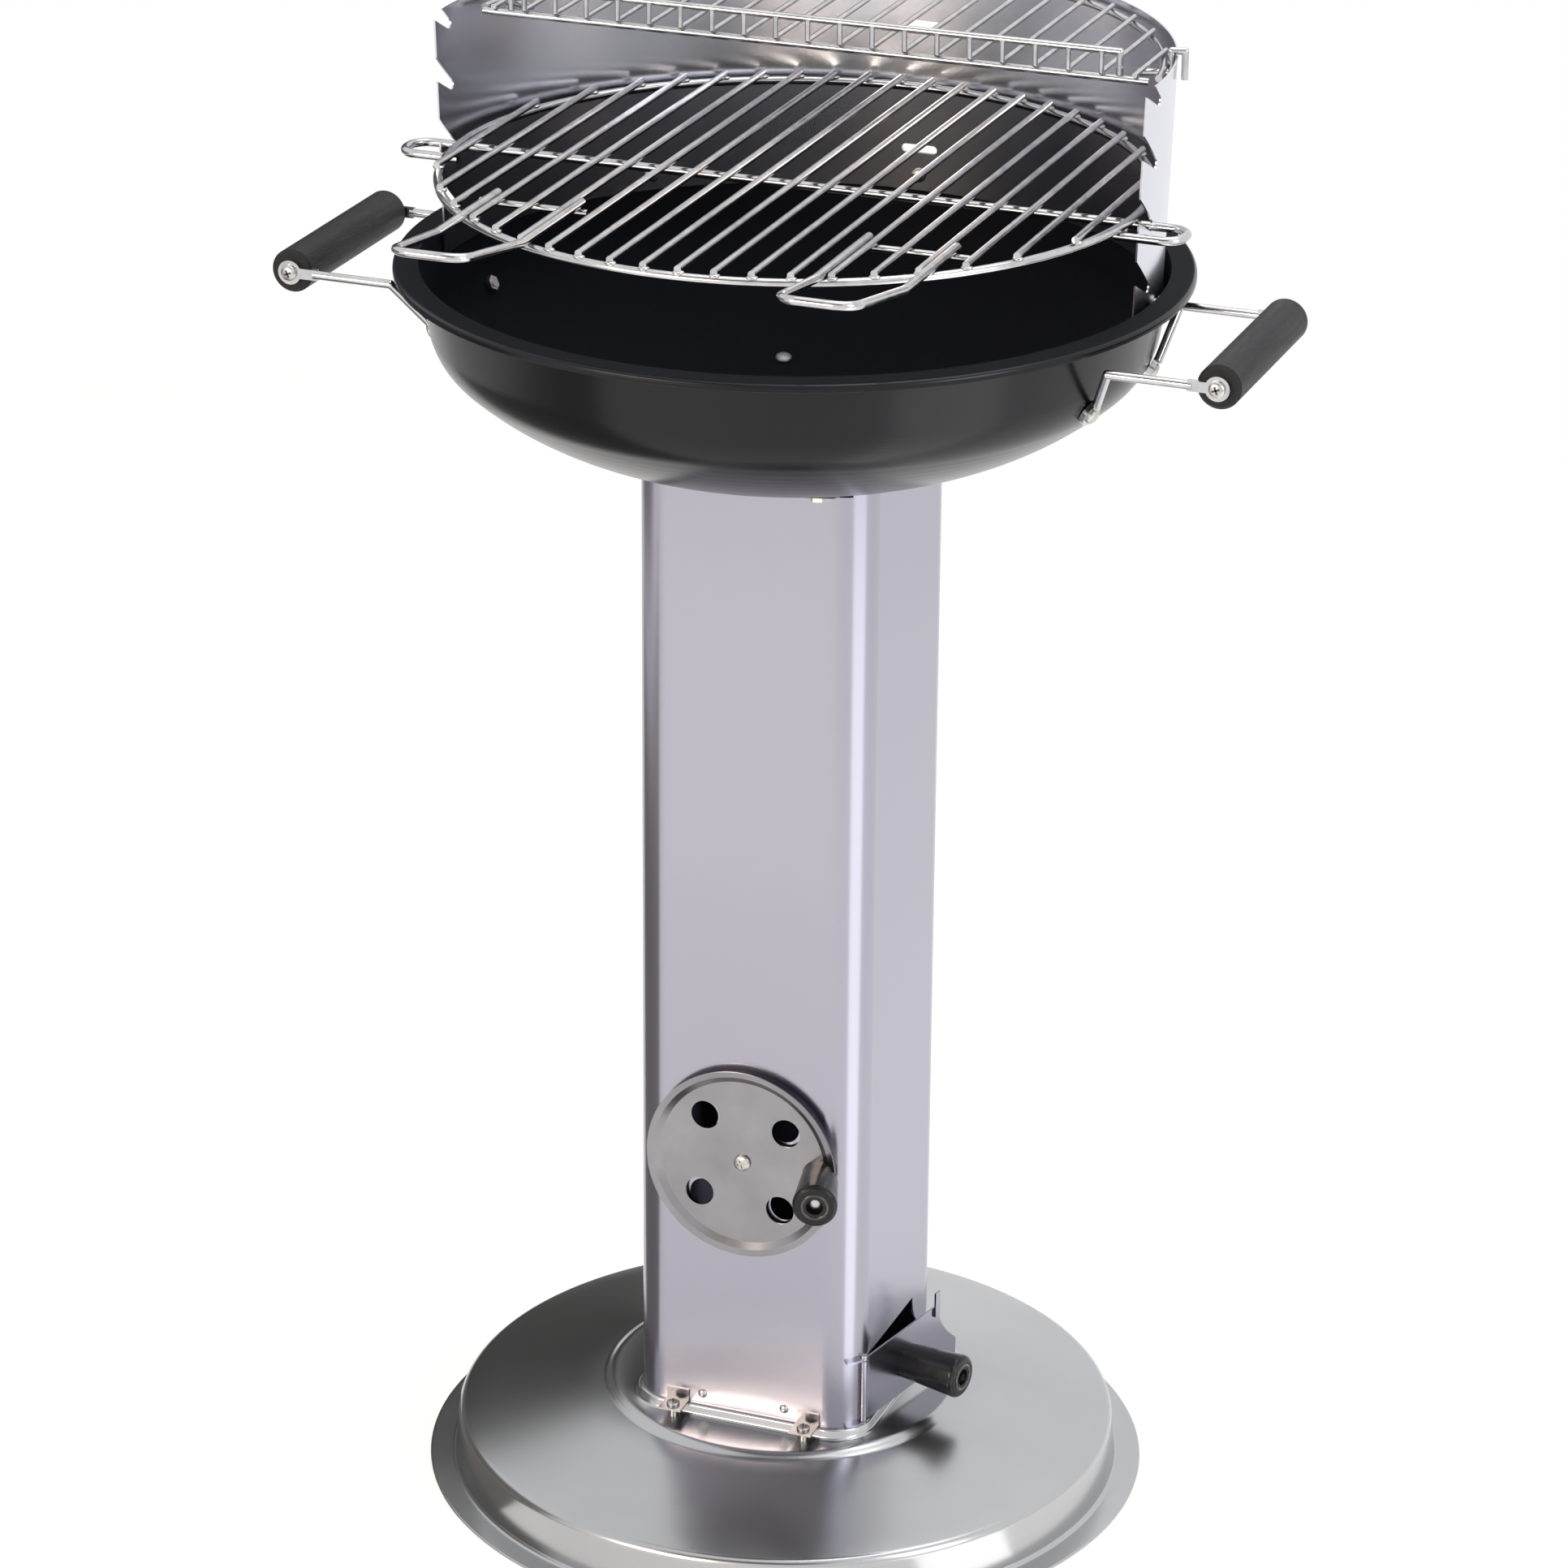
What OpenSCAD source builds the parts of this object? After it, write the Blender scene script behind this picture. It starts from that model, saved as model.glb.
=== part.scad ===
// Free-standing charcoal barbecue: an enamelled fire bowl on a square draught column and a round base.
// The origin is the centre of the base on the floor, +Z is up and the front faces -Y.

/* [Bowl] */
// Height of the bowl's rim above the floor
rim_h = 755; // [650:1:850]
// Width of the bowl's mouth, over the wall at the rim
bowl_mouth_d = 424; // [410:1:440]
// Width of the flat rim
rim_w = 13; // [9:1:18]
// Drop of the rim's turned edge
rim_lip = 4.5; // [4:0.5:7]
// Sheet thickness of the bowl
bowl_t = 1.2; // [1:0.1:1.6]
// Height of the bowl's upright wall
bowl_wall_h = 36.5; // [32:0.5:42]
// Radius of the bowl's sloping side
bowl_side_r = 184; // [170:1:195]
// Radius of the turn from side to wall
bowl_turn_r = 40; // [34:1:46]
// Width of the draught hole in the bowl
draught_d = 100; // [80:1:101]

/* [Column] */
// Width of the square column
column_w = 142; // [136:1:148]
// Corner radius of the column
column_r = 21; // [18:1:23]
// Sheet thickness of the column
column_t = 1.2; // [1:0.1:1.6]
// Width of the strip over the rear seam
seam_w = 24; // [16:1:32]

/* [Base] */
// Width of the base over its floor flange
base_d = 432; // [420:1:470]
// Width of the base over its shoulder
base_shoulder_d = 397; // [380:1:406]
// Height of the base's shoulder
base_shoulder_h = 33; // [26:1:38]
// Width of the plateau round the column
base_plateau_d = 238; // [232:1:250]
// Height of the plateau
base_plateau_h = 52; // [48:1:60]
// Height of the plinth on the plateau
plinth_h = 6.5; // [4:0.5:9]
// Sheet thickness of the base
base_t = 1.5; // [1:0.1:2]

/* [Air disc] */
// Height of the disc's spindle above the floor
disc_z = 225; // [200:1:400]
// Width of the disc over its dished rim
disc_d = 118; // [116:1:126]
// Width of the disc's flat middle
disc_flat_d = 103; // [100:1:110]
// Width of the air holes
air_hole_d = 17.6; // [14:0.2:20]
// Radius at which the air holes stand
air_hole_at = 35.7; // [31:0.1:38]

/* [Ash flap] */
// Height of the flap
flap_h = 41.5; // [36:0.5:50]
// Reach of the flap's top edge from its hinge
flap_reach_top = 84; // [76:1:90]
// Reach of the flap's lower edge from its hinge
flap_reach = 105; // [96:1:107]
// Angle at which the flap stands open at rest
flap_open = 12; // [8:1:20]

/* [Knobs] */
// Width of a knob at its back
knob_back_d = 21.4; // [18:0.2:24]
// Width of a knob at its front
knob_front_d = 26.3; // [24:0.1:28]
// Length of a knob
knob_l = 38.5; // [30:0.5:44]

/* [Wind shield] */
// Height of the shield above the rim
shield_rise = 123; // [118:1:135]
// Depth of the shield below the rim
shield_sink = 17; // [15:1:22]
// Sheet thickness of the shield
shield_t = 1; // [0.8:0.1:1.4]
// Distance between the notches
notch_pitch = 35.3; // [33:0.1:36]
// Overlap of the two sheets to each side of the middle
shield_lap = 16; // [14:1:24]

/* [Cooking grid] */
// Width of the cooking grid between its wire's centres
grid_d = 398; // [380:1:400]
// Radius of the grid's ring and cross wires
grid_wire_r = 2.5; // [2:0.1:3]
// Radius of the grid's bars
grid_bar_r = 2; // [1.5:0.1:2.3]
// Distance between the grid's bars
grid_pitch = 19.7; // [19:0.1:20.5]
// Distance of the handles' tips from the middle
handle_tip_y = 258; // [240:1:270]

/* [Warming rack] */
// Height of the rack above the rim
rack_rise = 117; // [112:1:120]
// Radius of the rack's frame wires
rack_wire_r = 2; // [1.6:0.1:2.4]
// Radius of the rack's bars
rack_bar_r = 1.5; // [1.2:0.1:1.8]
// Distance between the rack's bars
rack_pitch = 19; // [18:0.1:19.5]
// Height of the rack's front fence
fence_h = 15; // [12:1:22]

/* [Fire grate] */
// Width of the fire grate between its wire's centres
grate_d = 108; // [107:1:130]
// Distance between the fire grate's bars
grate_pitch = 12; // [9:1:14]

/* [Side handles] */
// Distance of the grips from the middle
grip_x = 273; // [266:1:290]
// Width of a grip
grip_d = 25; // [22:1:28]
// Front end of the grips
grip_front_y = -81; // [-90:1:-75]
// Rear end of the grips
grip_rear_y = 47; // [44:1:56]
// Depth of the grips' middle below the rim
grip_drop = 17; // [14:1:22]

/* [Hidden] */
$fn = 72;

// Fits and allowances that several pieces share
overrun = 3;
touch_gap = 0.05;
seat_gap = 0.15;
shank_gap = 0.3;
thread_gap = 0.05;
running_gap = 0.05;
moving_gap = 0.4;
bend_ease = 0.02;
wire_end = 2;
head_edge_share = 0.35;

// Bowl: a wide floor arc, a sloping side arc, a turn and a leaning wall
wall_lean = 10;
floor_end_a = 12;
side_end_a = 42;
mouth_r = bowl_mouth_d / 2;
rim_r = mouth_r + rim_w;
rim_edge_r = 3;
turn_c_r = mouth_r - bowl_wall_h * tan(wall_lean) - bowl_turn_r * cos(wall_lean);
side_c_r = turn_c_r - (bowl_side_r - bowl_turn_r) * sin(side_end_a);
bowl_floor_r = bowl_side_r + side_c_r / sin(floor_end_a);
turn_c_z = rim_h - bowl_wall_h + bowl_turn_r * sin(wall_lean);
side_c_z = turn_c_z + (bowl_side_r - bowl_turn_r) * cos(side_end_a);
floor_c_z = side_c_z + (bowl_floor_r - bowl_side_r) * cos(floor_end_a);

// Column and plinth
plinth_margin = 3;
plinth_top = base_plateau_h + plinth_h;
half_w = column_w / 2;
inner_w = half_w - column_t;
corner_c = half_w - column_r;
bowl_rest_gap = 0.2;
column_top = dome_z(inner_w, bowl_rest_gap);
column_h = column_top - plinth_top;
seam_t = 1;
seam_end_gap = 6;
rivet_r = 1.8;
rivet_head_r = 3.6;
rivet_head_h = 1.8;
rivet_count = 8;
rivet_inset = 22;

// Base pressing
base_r = base_d / 2;
shoulder_r = base_shoulder_d / 2;
shoulder_round = 6;
wall_foot = 1.5;
plateau_r = base_plateau_d / 2;
cone_a = atan((base_plateau_h - base_shoulder_h) / (shoulder_r - plateau_r));

// Foot lugs, locating tabs and their screws
lug_x = 41.5;
lug_w = 14;
lug_t = 1.2;
lug_leg = 8;
lug_reach = 15;
foot_screw_r = 2;
foot_screw_y = half_w + 8.6;
foot_head_r = 3.9;
foot_head_h = 2.6;
foot_nut_r = 4;
foot_nut_h = 3.2;
foot_screw_tail = 1;
tab_xs = [-21, 31];
tab_w = 6;
tab_t = 1.2;
tab_h = 9;
tab_gap = 0.1;

// Ash flap and its hinge
hinge_a = -19;
flap_edge_a = -27;
flap_gap_a = 1.5;
flap_gap = 0.5;
flap_rise = 0.5;
flap_low = plinth_top + flap_rise;
flap_top = flap_low + flap_h;
flap_curve_drop = 31;
flap_curve_steps = 8;
pin_r = 1.25;
knuckle_r = 2.2;
knuckle_skin = 0.1;
hinge_off = column_r + pin_r + running_gap + knuckle_skin;
hinge_x = corner_c + hinge_off * cos(hinge_a);
hinge_y = -corner_c + hinge_off * sin(hinge_a);
ear_t = 1.5;
ear_gap = 0.1;
ear_start_a = -52;
ear_low = plinth_top + ear_gap;
ear_high = flap_top + flap_rise;
knuckle_clear_r = 5.5;
pin_head_r = 2;
pin_head_h = 1.2;
tongue_w = 5;
tongue_t = 1.1;
tongue_rise = 10;
tongue_root = 6;
tongue_skin = 0.5;
tongue_off = 0.3;
flap_knob_at = 50;
flap_knob_z = plinth_top + 19.5;

// Air disc
spindle_r = 2.5;
spindle_head_r = 5;
spindle_head_h = 2.6;
spindle_nut_r = 4.6;
spindle_nut_h = 4;
spindle_tail = 1;
cross_w = 1;
cross_l = 5;
cross_depth = 1.2;
disc_off = 2;
disc_t = 1;
disc_dish = 3.5;
disc_dish_mid = 2.5;
disc_mid_share = 0.5;
disc_turn = -4;
disc_washer_r = 8;
disc_knob_at = 48.4;
disc_knob_a = -1;
disc_knob_tilt = 16;

// Knobs and their screws
knob_round = 3;
knob_recess_r = 5;
knob_recess_h = 6;
knob_root = 3.3;
knob_screw_r = 2;
knob_head_r = 4;
knob_head_h = 2.6;
knob_nut_r = 4;
knob_nut_h = 3;
knob_screw_tail = 1;

// Brackets between the column and the bowl
bracket_t = 2;
bracket_gap = 0.1;
bracket_x = 48;
bracket_w = 26;
bracket_leg_w = 14.5;
bracket_leg_h = 34;
bracket_in_y = 60;
bracket_front_y = 96;
bracket_rear_y = 121;
bracket_notch_gap = 0.5;
bracket_notch_h = 2.6;
bowl_bolt_front_y = 84;
bowl_bolt_rear_y = 109;
bowl_bolt_r = 3;
bowl_bolt_head_r = 5;
bowl_bolt_head_h = 3;
bowl_nut_r = 5.6;
bowl_nut_h = 3.2;
bowl_bolt_tail = 0.4;

// Wind shield: two rolled sheets that lean out a little, notched along their front edges
shield_flare = 4.3;
shield_clear = 0.7;
shield_low = rim_h - shield_sink;
shield_high = rim_h + shield_rise;
shield_low_r = bowl_wall_r(shield_low) - bowl_t / cos(wall_lean) - shield_clear;
shield_edge_a = -5.5;
lap_a = asin(shield_lap / shield_low_r);
lap_gap = 0.2;
shield_bolt_z = rim_h - 8;
shield_bolt_angles = [6, 45, 90, 135, 174];
shield_bolt_r = 2.5;
shield_head_r = 4.2;
shield_head_h = 2.4;
shield_nut_r = 4.6;
shield_nut_h = 3.2;
shield_nut_stand = 0.8;
shield_bolt_tail = 1;
spacer_r = 4;
spacer_gap = 0.12;
slot_w = 22;
slot_h = 5;
slot_pitch = 37.3;
slot_first_rise = 8;
slot_cut_y = 150;
slot_cut_l = 100;
notch_first_rise = 4.1;
notch_count = 4;
notch_low_a = 26.6;
notch_high_a = 40;
notch_gap = 0.4;
notch_r = grid_wire_r + notch_gap;
notch_run = 45;
notch_arc_steps = 8;
notch_cut_depth = 25;

// Cooking grid, resting in the second notch from the bottom
grid_r = grid_d / 2;
grid_notch = 1;
grid_cross_z = rim_h + notch_first_rise + grid_notch * notch_pitch + notch_r;
grid_ring_z = grid_cross_z + 2 * grid_wire_r + touch_gap;
grid_bar_z = grid_ring_z + grid_wire_r + grid_bar_r + touch_gap;
grid_bar_count = 20;
grid_overlap = 1;
ear_out_x = 231;
ear_front_y = 25;
ear_round = 11;
ear_end_in = 3;
loop_mid_share = 5.5;
loop_x = loop_mid_share * grid_pitch;
loop_leg_gap = 0.7;
loop_half_w = grid_pitch + grid_bar_r + grid_wire_r + loop_leg_gap;
loop_tip_half_w = 21.5;
loop_in_y = 112;
loop_end_in = 4;
loop_bend_y = 190;
loop_rise = 10;
loop_round = 12;
loop_z = grid_ring_z + 2 * grid_wire_r + touch_gap;
loop_cross_r = 2;
loop_cross_z = grid_bar_z - grid_bar_r - loop_cross_r - touch_gap;
loop_cross_in = 5;
loop_cross_out = 9;

// Warming rack, hung on the shield's top edge
rack_z = rim_h + rack_rise;
rack_wall_gap = 4.8;
rack_r = shield_low_r + shield_flare - shield_t - lap_gap - shield_t - rack_wall_gap - rack_wire_r;
rack_front_y = 20;
rack_arc_start_a = 8;
rack_bar_count = 21;
rack_bar_z = rack_z + rack_wire_r + rack_bar_r + touch_gap;
rack_bar_front = 3;
rack_bar_back = 1.5;
fence_z = rack_z + fence_h;
fence_y = rack_front_y - rack_bar_front + rack_bar_r + rack_wire_r + touch_gap;
fence_half_share = 9.5;
fence_half = fence_half_share * rack_pitch;
hook_angles = [16, 90, 164];
hook_edge_gap = 0.35;
hook_side_gap = 0.7;
hook_in = 14;
hook_drop = 16;
hook_in_z = rack_z - 2 * rack_wire_r - touch_gap;
hook_over_z = shield_high + rack_wire_r + hook_edge_gap;
hook_up_r = shield_r(shield_high) - 2 * shield_t - lap_gap - rack_wire_r - hook_side_gap;
hook_down_r = shield_r(shield_high) + rack_wire_r + hook_side_gap;

// Fire grate, resting on the bowl's floor
grate_r = grate_d / 2;
grate_wire_r = 2;
grate_bar_r = 1.5;
grate_rest_gap = 0.3;
grate_z = dome_z(grate_r, -bowl_t - grate_wire_r - grate_rest_gap);
grate_bar_z = grate_z + grate_wire_r + grate_bar_r + touch_gap;

// Side handles
grip_z = rim_h - grip_drop;
grip_r = grip_d / 2;
grip_chamfer = 1.5;
grip_hole_l = 24;
grip_screw_r = 2.2;
grip_screw_l = 20;
grip_head_r = 4.6;
grip_head_h = 3;
handle_wire_r = 2.5;
eye_r = 7;
eye_t = 3;
eye_neck_h = 6;
eye_neck_l = 17;
elbow_x = 211;
handle_front_a = -17;
handle_rear_a = 7.5;
handle_turn_a = 27;
handle_bolt_r = 2.5;
handle_head_r = 4.8;
handle_head_h = 3;
handle_nut_r = 4.6;
handle_nut_h = 3.5;
handle_bolt_tail = 1;
eye_lift = 0.3;
wire_foot_up = 6;
wire_foot_off = 3.2;
handle_foot_r = turn_c_r + bowl_turn_r * cos(handle_turn_a);
handle_foot_z = turn_c_z - bowl_turn_r * sin(handle_turn_a);

// Radius of the bowl's outer wall at a height near the rim
function bowl_wall_r(z) = mouth_r - (rim_h - z) * tan(wall_lean);
// Height of the bowl's floor at a radius, moved outwards by a distance
function dome_z(r, out) = floor_c_z - sqrt(pow(bowl_floor_r + out, 2) - r * r);
// Outer radius of the shield at a height
function shield_r(z) = shield_low_r + shield_flare * (z - shield_low) / (shield_high - shield_low);
// Points along an arc that starts below its centre and turns outwards
function arc_up(c, r, a, b, n) = [for (i = [0 : n]) let (t = a + (b - a) * i / n) c + r * [sin(t), -cos(t)]];
function reversed(list) = [for (i = [len(list) - 1 : -1 : 0]) list[i]];
// Bowl's section, moved outwards by a distance, from a radius up to the rim
function bowl_line(out, from_r) = concat(
    arc_up([0, floor_c_z], bowl_floor_r + out, asin(from_r / (bowl_floor_r + out)), floor_end_a, 8),
    arc_up([side_c_r, side_c_z], bowl_side_r + out, floor_end_a, side_end_a, 14),
    arc_up([turn_c_r, turn_c_z], bowl_turn_r + out, side_end_a, 90 - wall_lean, 12));
// Reach of the flap's free edge, at a share of the curve's drop
function flap_end_y(share) = hinge_y + flap_reach_top + (flap_reach - flap_reach_top) * share * share;
// Offset that a shield sheet has from the outer one
function lap_in(a) = a <= 90 ? shield_t + lap_gap : 0;

// Straight stretch of wire between two points
module rod(p, q, r) {
    run = q - p;
    translate(p)
        rotate([0, acos(run[2] / norm(run)), atan2(run[1], run[0])])
            cylinder(r = r, h = norm(run), $fn = 24);
}

// Bent wire through a list of points
module wire(points, r) {
    for (i = [0 : len(points) - 2])
        rod(points[i], points[i + 1], r);
    for (i = [1 : len(points) - 2])
        translate(points[i])
            sphere(r = r + bend_ease, $fn = 24);
}

// Round bend of wire in a level plane between two angles
module wire_bend(c, bend_r, from_a, to_a, r) {
    translate(c)
        rotate(from_a)
            rotate_extrude(angle = to_a - from_a, $fn = 96)
                translate([bend_r, 0])
                    circle(r = r, $fn = 24);
}

module wire_ring(ring_r, r) {
    rotate_extrude()
        translate([ring_r, 0])
            circle(r = r, $fn = 24);
}

// Stands its children at a point, with their +Z along a direction
module aim(p, d) {
    translate(p)
        rotate([0, acos(d[2] / norm(d)), atan2(d[1], d[0])])
            children();
}

// Domed screw head that stands on z = 0
module pan_head(r, h) {
    edge = h * head_edge_share;
    rotate_extrude($fn = 32)
        polygon(concat([[0, 0], [r, 0]],
            [for (t = [0 : 15 : 90]) [r * cos(t), edge + (h - edge) * sin(t)]]));
}

// Bolt whose head seats on z = 0 from below and whose shank rises from there
module bolt(head_r, head_h, r, l) {
    mirror([0, 0, 1])
        pan_head(head_r, head_h);
    translate([0, 0, -head_h * head_edge_share])
        cylinder(r = r, h = l + head_h * head_edge_share, $fn = 24);
}

module hex_nut(r, h, hole_r) {
    difference() {
        cylinder(r = r, h = h, $fn = 6);
        translate([0, 0, -overrun])
            cylinder(r = hole_r + thread_gap, h = h + 2 * overrun, $fn = 24);
    }
}

// Plan of the column, drawn in from its outside by a distance
module column_plan(inset) {
    side = column_w - 2 * inset;
    r = column_r - inset;
    square([side, side - 2 * r], center = true);
    square([side - 2 * r, side], center = true);
    for (x = [-1, 1], y = [-1, 1])
        translate([x, y] * (side / 2 - r))
            circle(r = r);
}

module column_tube(low, high) {
    translate([0, 0, low])
        linear_extrude(height = high - low)
            difference() {
                column_plan(0);
                column_plan(column_t);
            }
}

module mirrored_x() {
    children();
    mirror([1, 0, 0])
        children();
}

module mirrored_y() {
    children();
    mirror([0, 1, 0])
        children();
}

// Stands its children on the column's front face at the spindle, with +Z out of the face
module on_front() {
    translate([0, -half_w, disc_z])
        rotate([90, 0, 0])
            children();
}

module air_holes(turn, depth) {
    for (a = [45 : 90 : 315])
        rotate(a + turn)
            translate([air_hole_at, 0, -depth])
                cylinder(d = air_hole_d, h = 2 * depth, $fn = 48);
}

// Space that the flap fills in the column's right wall and front corner
module flap_window(grow, grow_a, low) {
    top = flap_top + grow;
    translate([corner_c, 0, 0])
        rotate([90, 0, 90])
            linear_extrude(height = column_r + overrun)
                polygon(concat([[-corner_c, low], [-corner_c, top]],
                    [for (i = [0 : flap_curve_steps]) let (s = i / flap_curve_steps)
                        [flap_end_y(s) + grow, top - flap_curve_drop * s]],
                    [[flap_end_y(1) + grow, low]]));
    a = flap_edge_a - grow_a;
    translate([corner_c, -corner_c, low])
        linear_extrude(height = top - low)
            polygon([[0, 0], 2 * column_r * [cos(a), sin(a)], [2 * column_r, 0]]);
}

// Turns its children about the flap's hinge, from shut to the rest position
module flap_at_rest() {
    translate([hinge_x, hinge_y, 0])
        rotate(-flap_open)
            translate([-hinge_x, -hinge_y, 0])
                children();
}

// Stands its children on the shut flap at its knob, with +Z out of the flap
module on_flap() {
    translate([half_w, hinge_y + flap_knob_at, flap_knob_z])
        rotate([0, 90, 0])
            children();
}

module knob(root) {
    br = knob_back_d / 2;
    fr = knob_front_d / 2;
    difference() {
        rotate_extrude()
            polygon(concat([[0, -root], [br, -root], [br, 0]],
                [for (t = [0 : 15 : 90])
                    [fr - knob_round + knob_round * cos(t), knob_l - knob_round + knob_round * sin(t)]],
                [[0, knob_l]]));
        translate([0, 0, knob_l - knob_recess_h])
            cylinder(r = knob_recess_r, h = knob_recess_h + overrun, $fn = 32);
        translate([0, 0, -root - overrun])
            cylinder(r = knob_screw_r + shank_gap, h = knob_l + root + overrun, $fn = 24);
    }
}

// Screw in a knob's recess, whose shank reaches back past the knob
module knob_screw(back) {
    translate([0, 0, knob_l - knob_recess_h + seat_gap])
        mirror([0, 0, 1])
            bolt(knob_head_r, knob_head_h, knob_screw_r, knob_l - knob_recess_h + seat_gap + back);
}

module base_plate() {
    foot_r = shoulder_r + wall_foot;
    shoulder_c = [shoulder_r - shoulder_round, base_shoulder_h - shoulder_round];
    skin = [for (t = [90 - cone_a : -15 : 0]) [cos(t), sin(t)]];
    color("silver") difference() {
        union() {
            rotate_extrude($fn = 144)
                polygon(concat(
                    [[0, base_plateau_h], [plateau_r, base_plateau_h]],
                    [for (s = skin) shoulder_c + shoulder_round * s],
                    [[foot_r, base_t], [base_r, base_t], [base_r, 0], [foot_r - base_t, 0]],
                    reversed([for (s = skin) shoulder_c + (shoulder_round - base_t) * s]),
                    [[plateau_r, base_plateau_h - base_t], [0, base_plateau_h - base_t]]));
            translate([0, 0, base_plateau_h - base_t])
                linear_extrude(height = plinth_h + base_t)
                    column_plan(-plinth_margin);
        }
        translate([0, 0, base_plateau_h - base_t - overrun])
            linear_extrude(height = plinth_h + overrun)
                column_plan(base_t - plinth_margin);
        for (x = [-lug_x, lug_x], y = [-foot_screw_y, foot_screw_y])
            translate([x, y, base_plateau_h - base_t - overrun])
                cylinder(r = foot_screw_r + shank_gap, h = base_t + 2 * overrun, $fn = 24);
    }
}

module column() {
    color("lightsteelblue") difference() {
        column_tube(plinth_top, column_top);
        on_front()
            translate([0, 0, -column_t - overrun])
                cylinder(r = spindle_r + shank_gap, h = column_t + 2 * overrun, $fn = 32);
        on_front()
            air_holes(0, column_t + overrun);
        flap_window(flap_gap, flap_gap_a, plinth_top - overrun);
        for (z = rivet_zs())
            translate([0, inner_w - overrun, z])
                rotate([-90, 0, 0])
                    cylinder(r = rivet_r + touch_gap, h = column_t + 2 * overrun, $fn = 24);
        mirrored_x()
            mirrored_y()
                translate([bracket_x - bracket_w / 2 - bracket_notch_gap, inner_w - column_r, column_top - bracket_notch_h])
                    cube([bracket_w + 2 * bracket_notch_gap, column_r + overrun, bracket_notch_h + overrun]);
    }
}

function rivet_zs() = [for (i = [0 : rivet_count - 1])
    plinth_top + rivet_inset + (column_h - 2 * rivet_inset) * i / (rivet_count - 1)];

module seam_strip() {
    color("lightsteelblue") difference() {
        translate([-seam_w / 2, half_w, plinth_top + tab_h + seam_end_gap])
            cube([seam_w, seam_t, column_h - tab_h - 2 * seam_end_gap]);
        for (z = rivet_zs())
            translate([0, half_w - overrun, z])
                rotate([-90, 0, 0])
                    cylinder(r = rivet_r + touch_gap, h = seam_t + 2 * overrun, $fn = 24);
    }
}

module seam_rivets() {
    color("gray") for (z = rivet_zs())
        translate([0, half_w + seam_t + touch_gap, z])
            rotate([90, 0, 0])
                bolt(rivet_head_r, rivet_head_h, rivet_r, seam_t + column_t + touch_gap);
}

module foot_lugs() {
    color("silver") mirrored_x() mirrored_y() difference() {
        union() {
            translate([lug_x - lug_w / 2, half_w, plinth_top])
                cube([lug_w, lug_reach, lug_t]);
            translate([lug_x - lug_w / 2, half_w, plinth_top])
                cube([lug_w, lug_t, lug_leg]);
        }
        translate([lug_x, foot_screw_y, plinth_top - overrun])
            cylinder(r = foot_screw_r + shank_gap, h = lug_t + 2 * overrun, $fn = 24);
    }
}

module locating_tabs() {
    color("silver") mirrored_y()
        for (x = tab_xs)
            translate([x - tab_w / 2, -half_w - tab_gap - tab_t, plinth_top])
                cube([tab_w, tab_t, tab_h]);
}

module foot_screws() {
    reach = lug_t + plinth_h + base_t + foot_nut_h + 2 * seat_gap + foot_screw_tail;
    color("gray") mirrored_x() mirrored_y()
        translate([lug_x, foot_screw_y, plinth_top + lug_t + touch_gap])
            mirror([0, 0, 1])
                bolt(foot_head_r, foot_head_h, foot_screw_r, reach);
}

module foot_nuts() {
    color("gray") mirrored_x() mirrored_y()
        translate([lug_x, foot_screw_y, base_plateau_h - base_t - touch_gap - foot_nut_h])
            hex_nut(foot_nut_r, foot_nut_h, foot_screw_r);
}

// Two small ears on the column's corner, which hold the flap's pin
module hinge_ears() {
    color("gray") for (z = [ear_low, ear_high])
        translate([corner_c, -corner_c, z])
            difference() {
                union() {
                    rotate(ear_start_a)
                        rotate_extrude(angle = hinge_a - ear_start_a)
                            translate([column_r + touch_gap, 0])
                                square([hinge_off + knuckle_r - column_r - 2 * touch_gap - tongue_skin, ear_t]);
                    rotate(hinge_a)
                        translate([hinge_off, 0, 0])
                            cylinder(r = knuckle_r, h = ear_t, $fn = 32);
                }
                translate([0, 0, -overrun])
                    cylinder(r = column_r + touch_gap, h = ear_t + 2 * overrun);
                rotate(hinge_a)
                    translate([hinge_off, 0, -overrun])
                        cylinder(r = pin_r + running_gap, h = ear_t + 2 * overrun, $fn = 32);
            }
}

module flap_pin() {
    color("dimgray") translate([hinge_x, hinge_y, 0]) {
        translate([0, 0, ear_low])
            cylinder(r = pin_r, h = ear_high + ear_t + pin_head_h - ear_low, $fn = 32);
        difference() {
            translate([0, 0, ear_high + ear_t + touch_gap])
                cylinder(r = pin_head_r, h = pin_head_h, $fn = 32);
            translate([corner_c - hinge_x, -corner_c - hinge_y, ear_high])
                cylinder(r = column_r + touch_gap, h = ear_t + pin_head_h + overrun);
        }
    }
}

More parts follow.
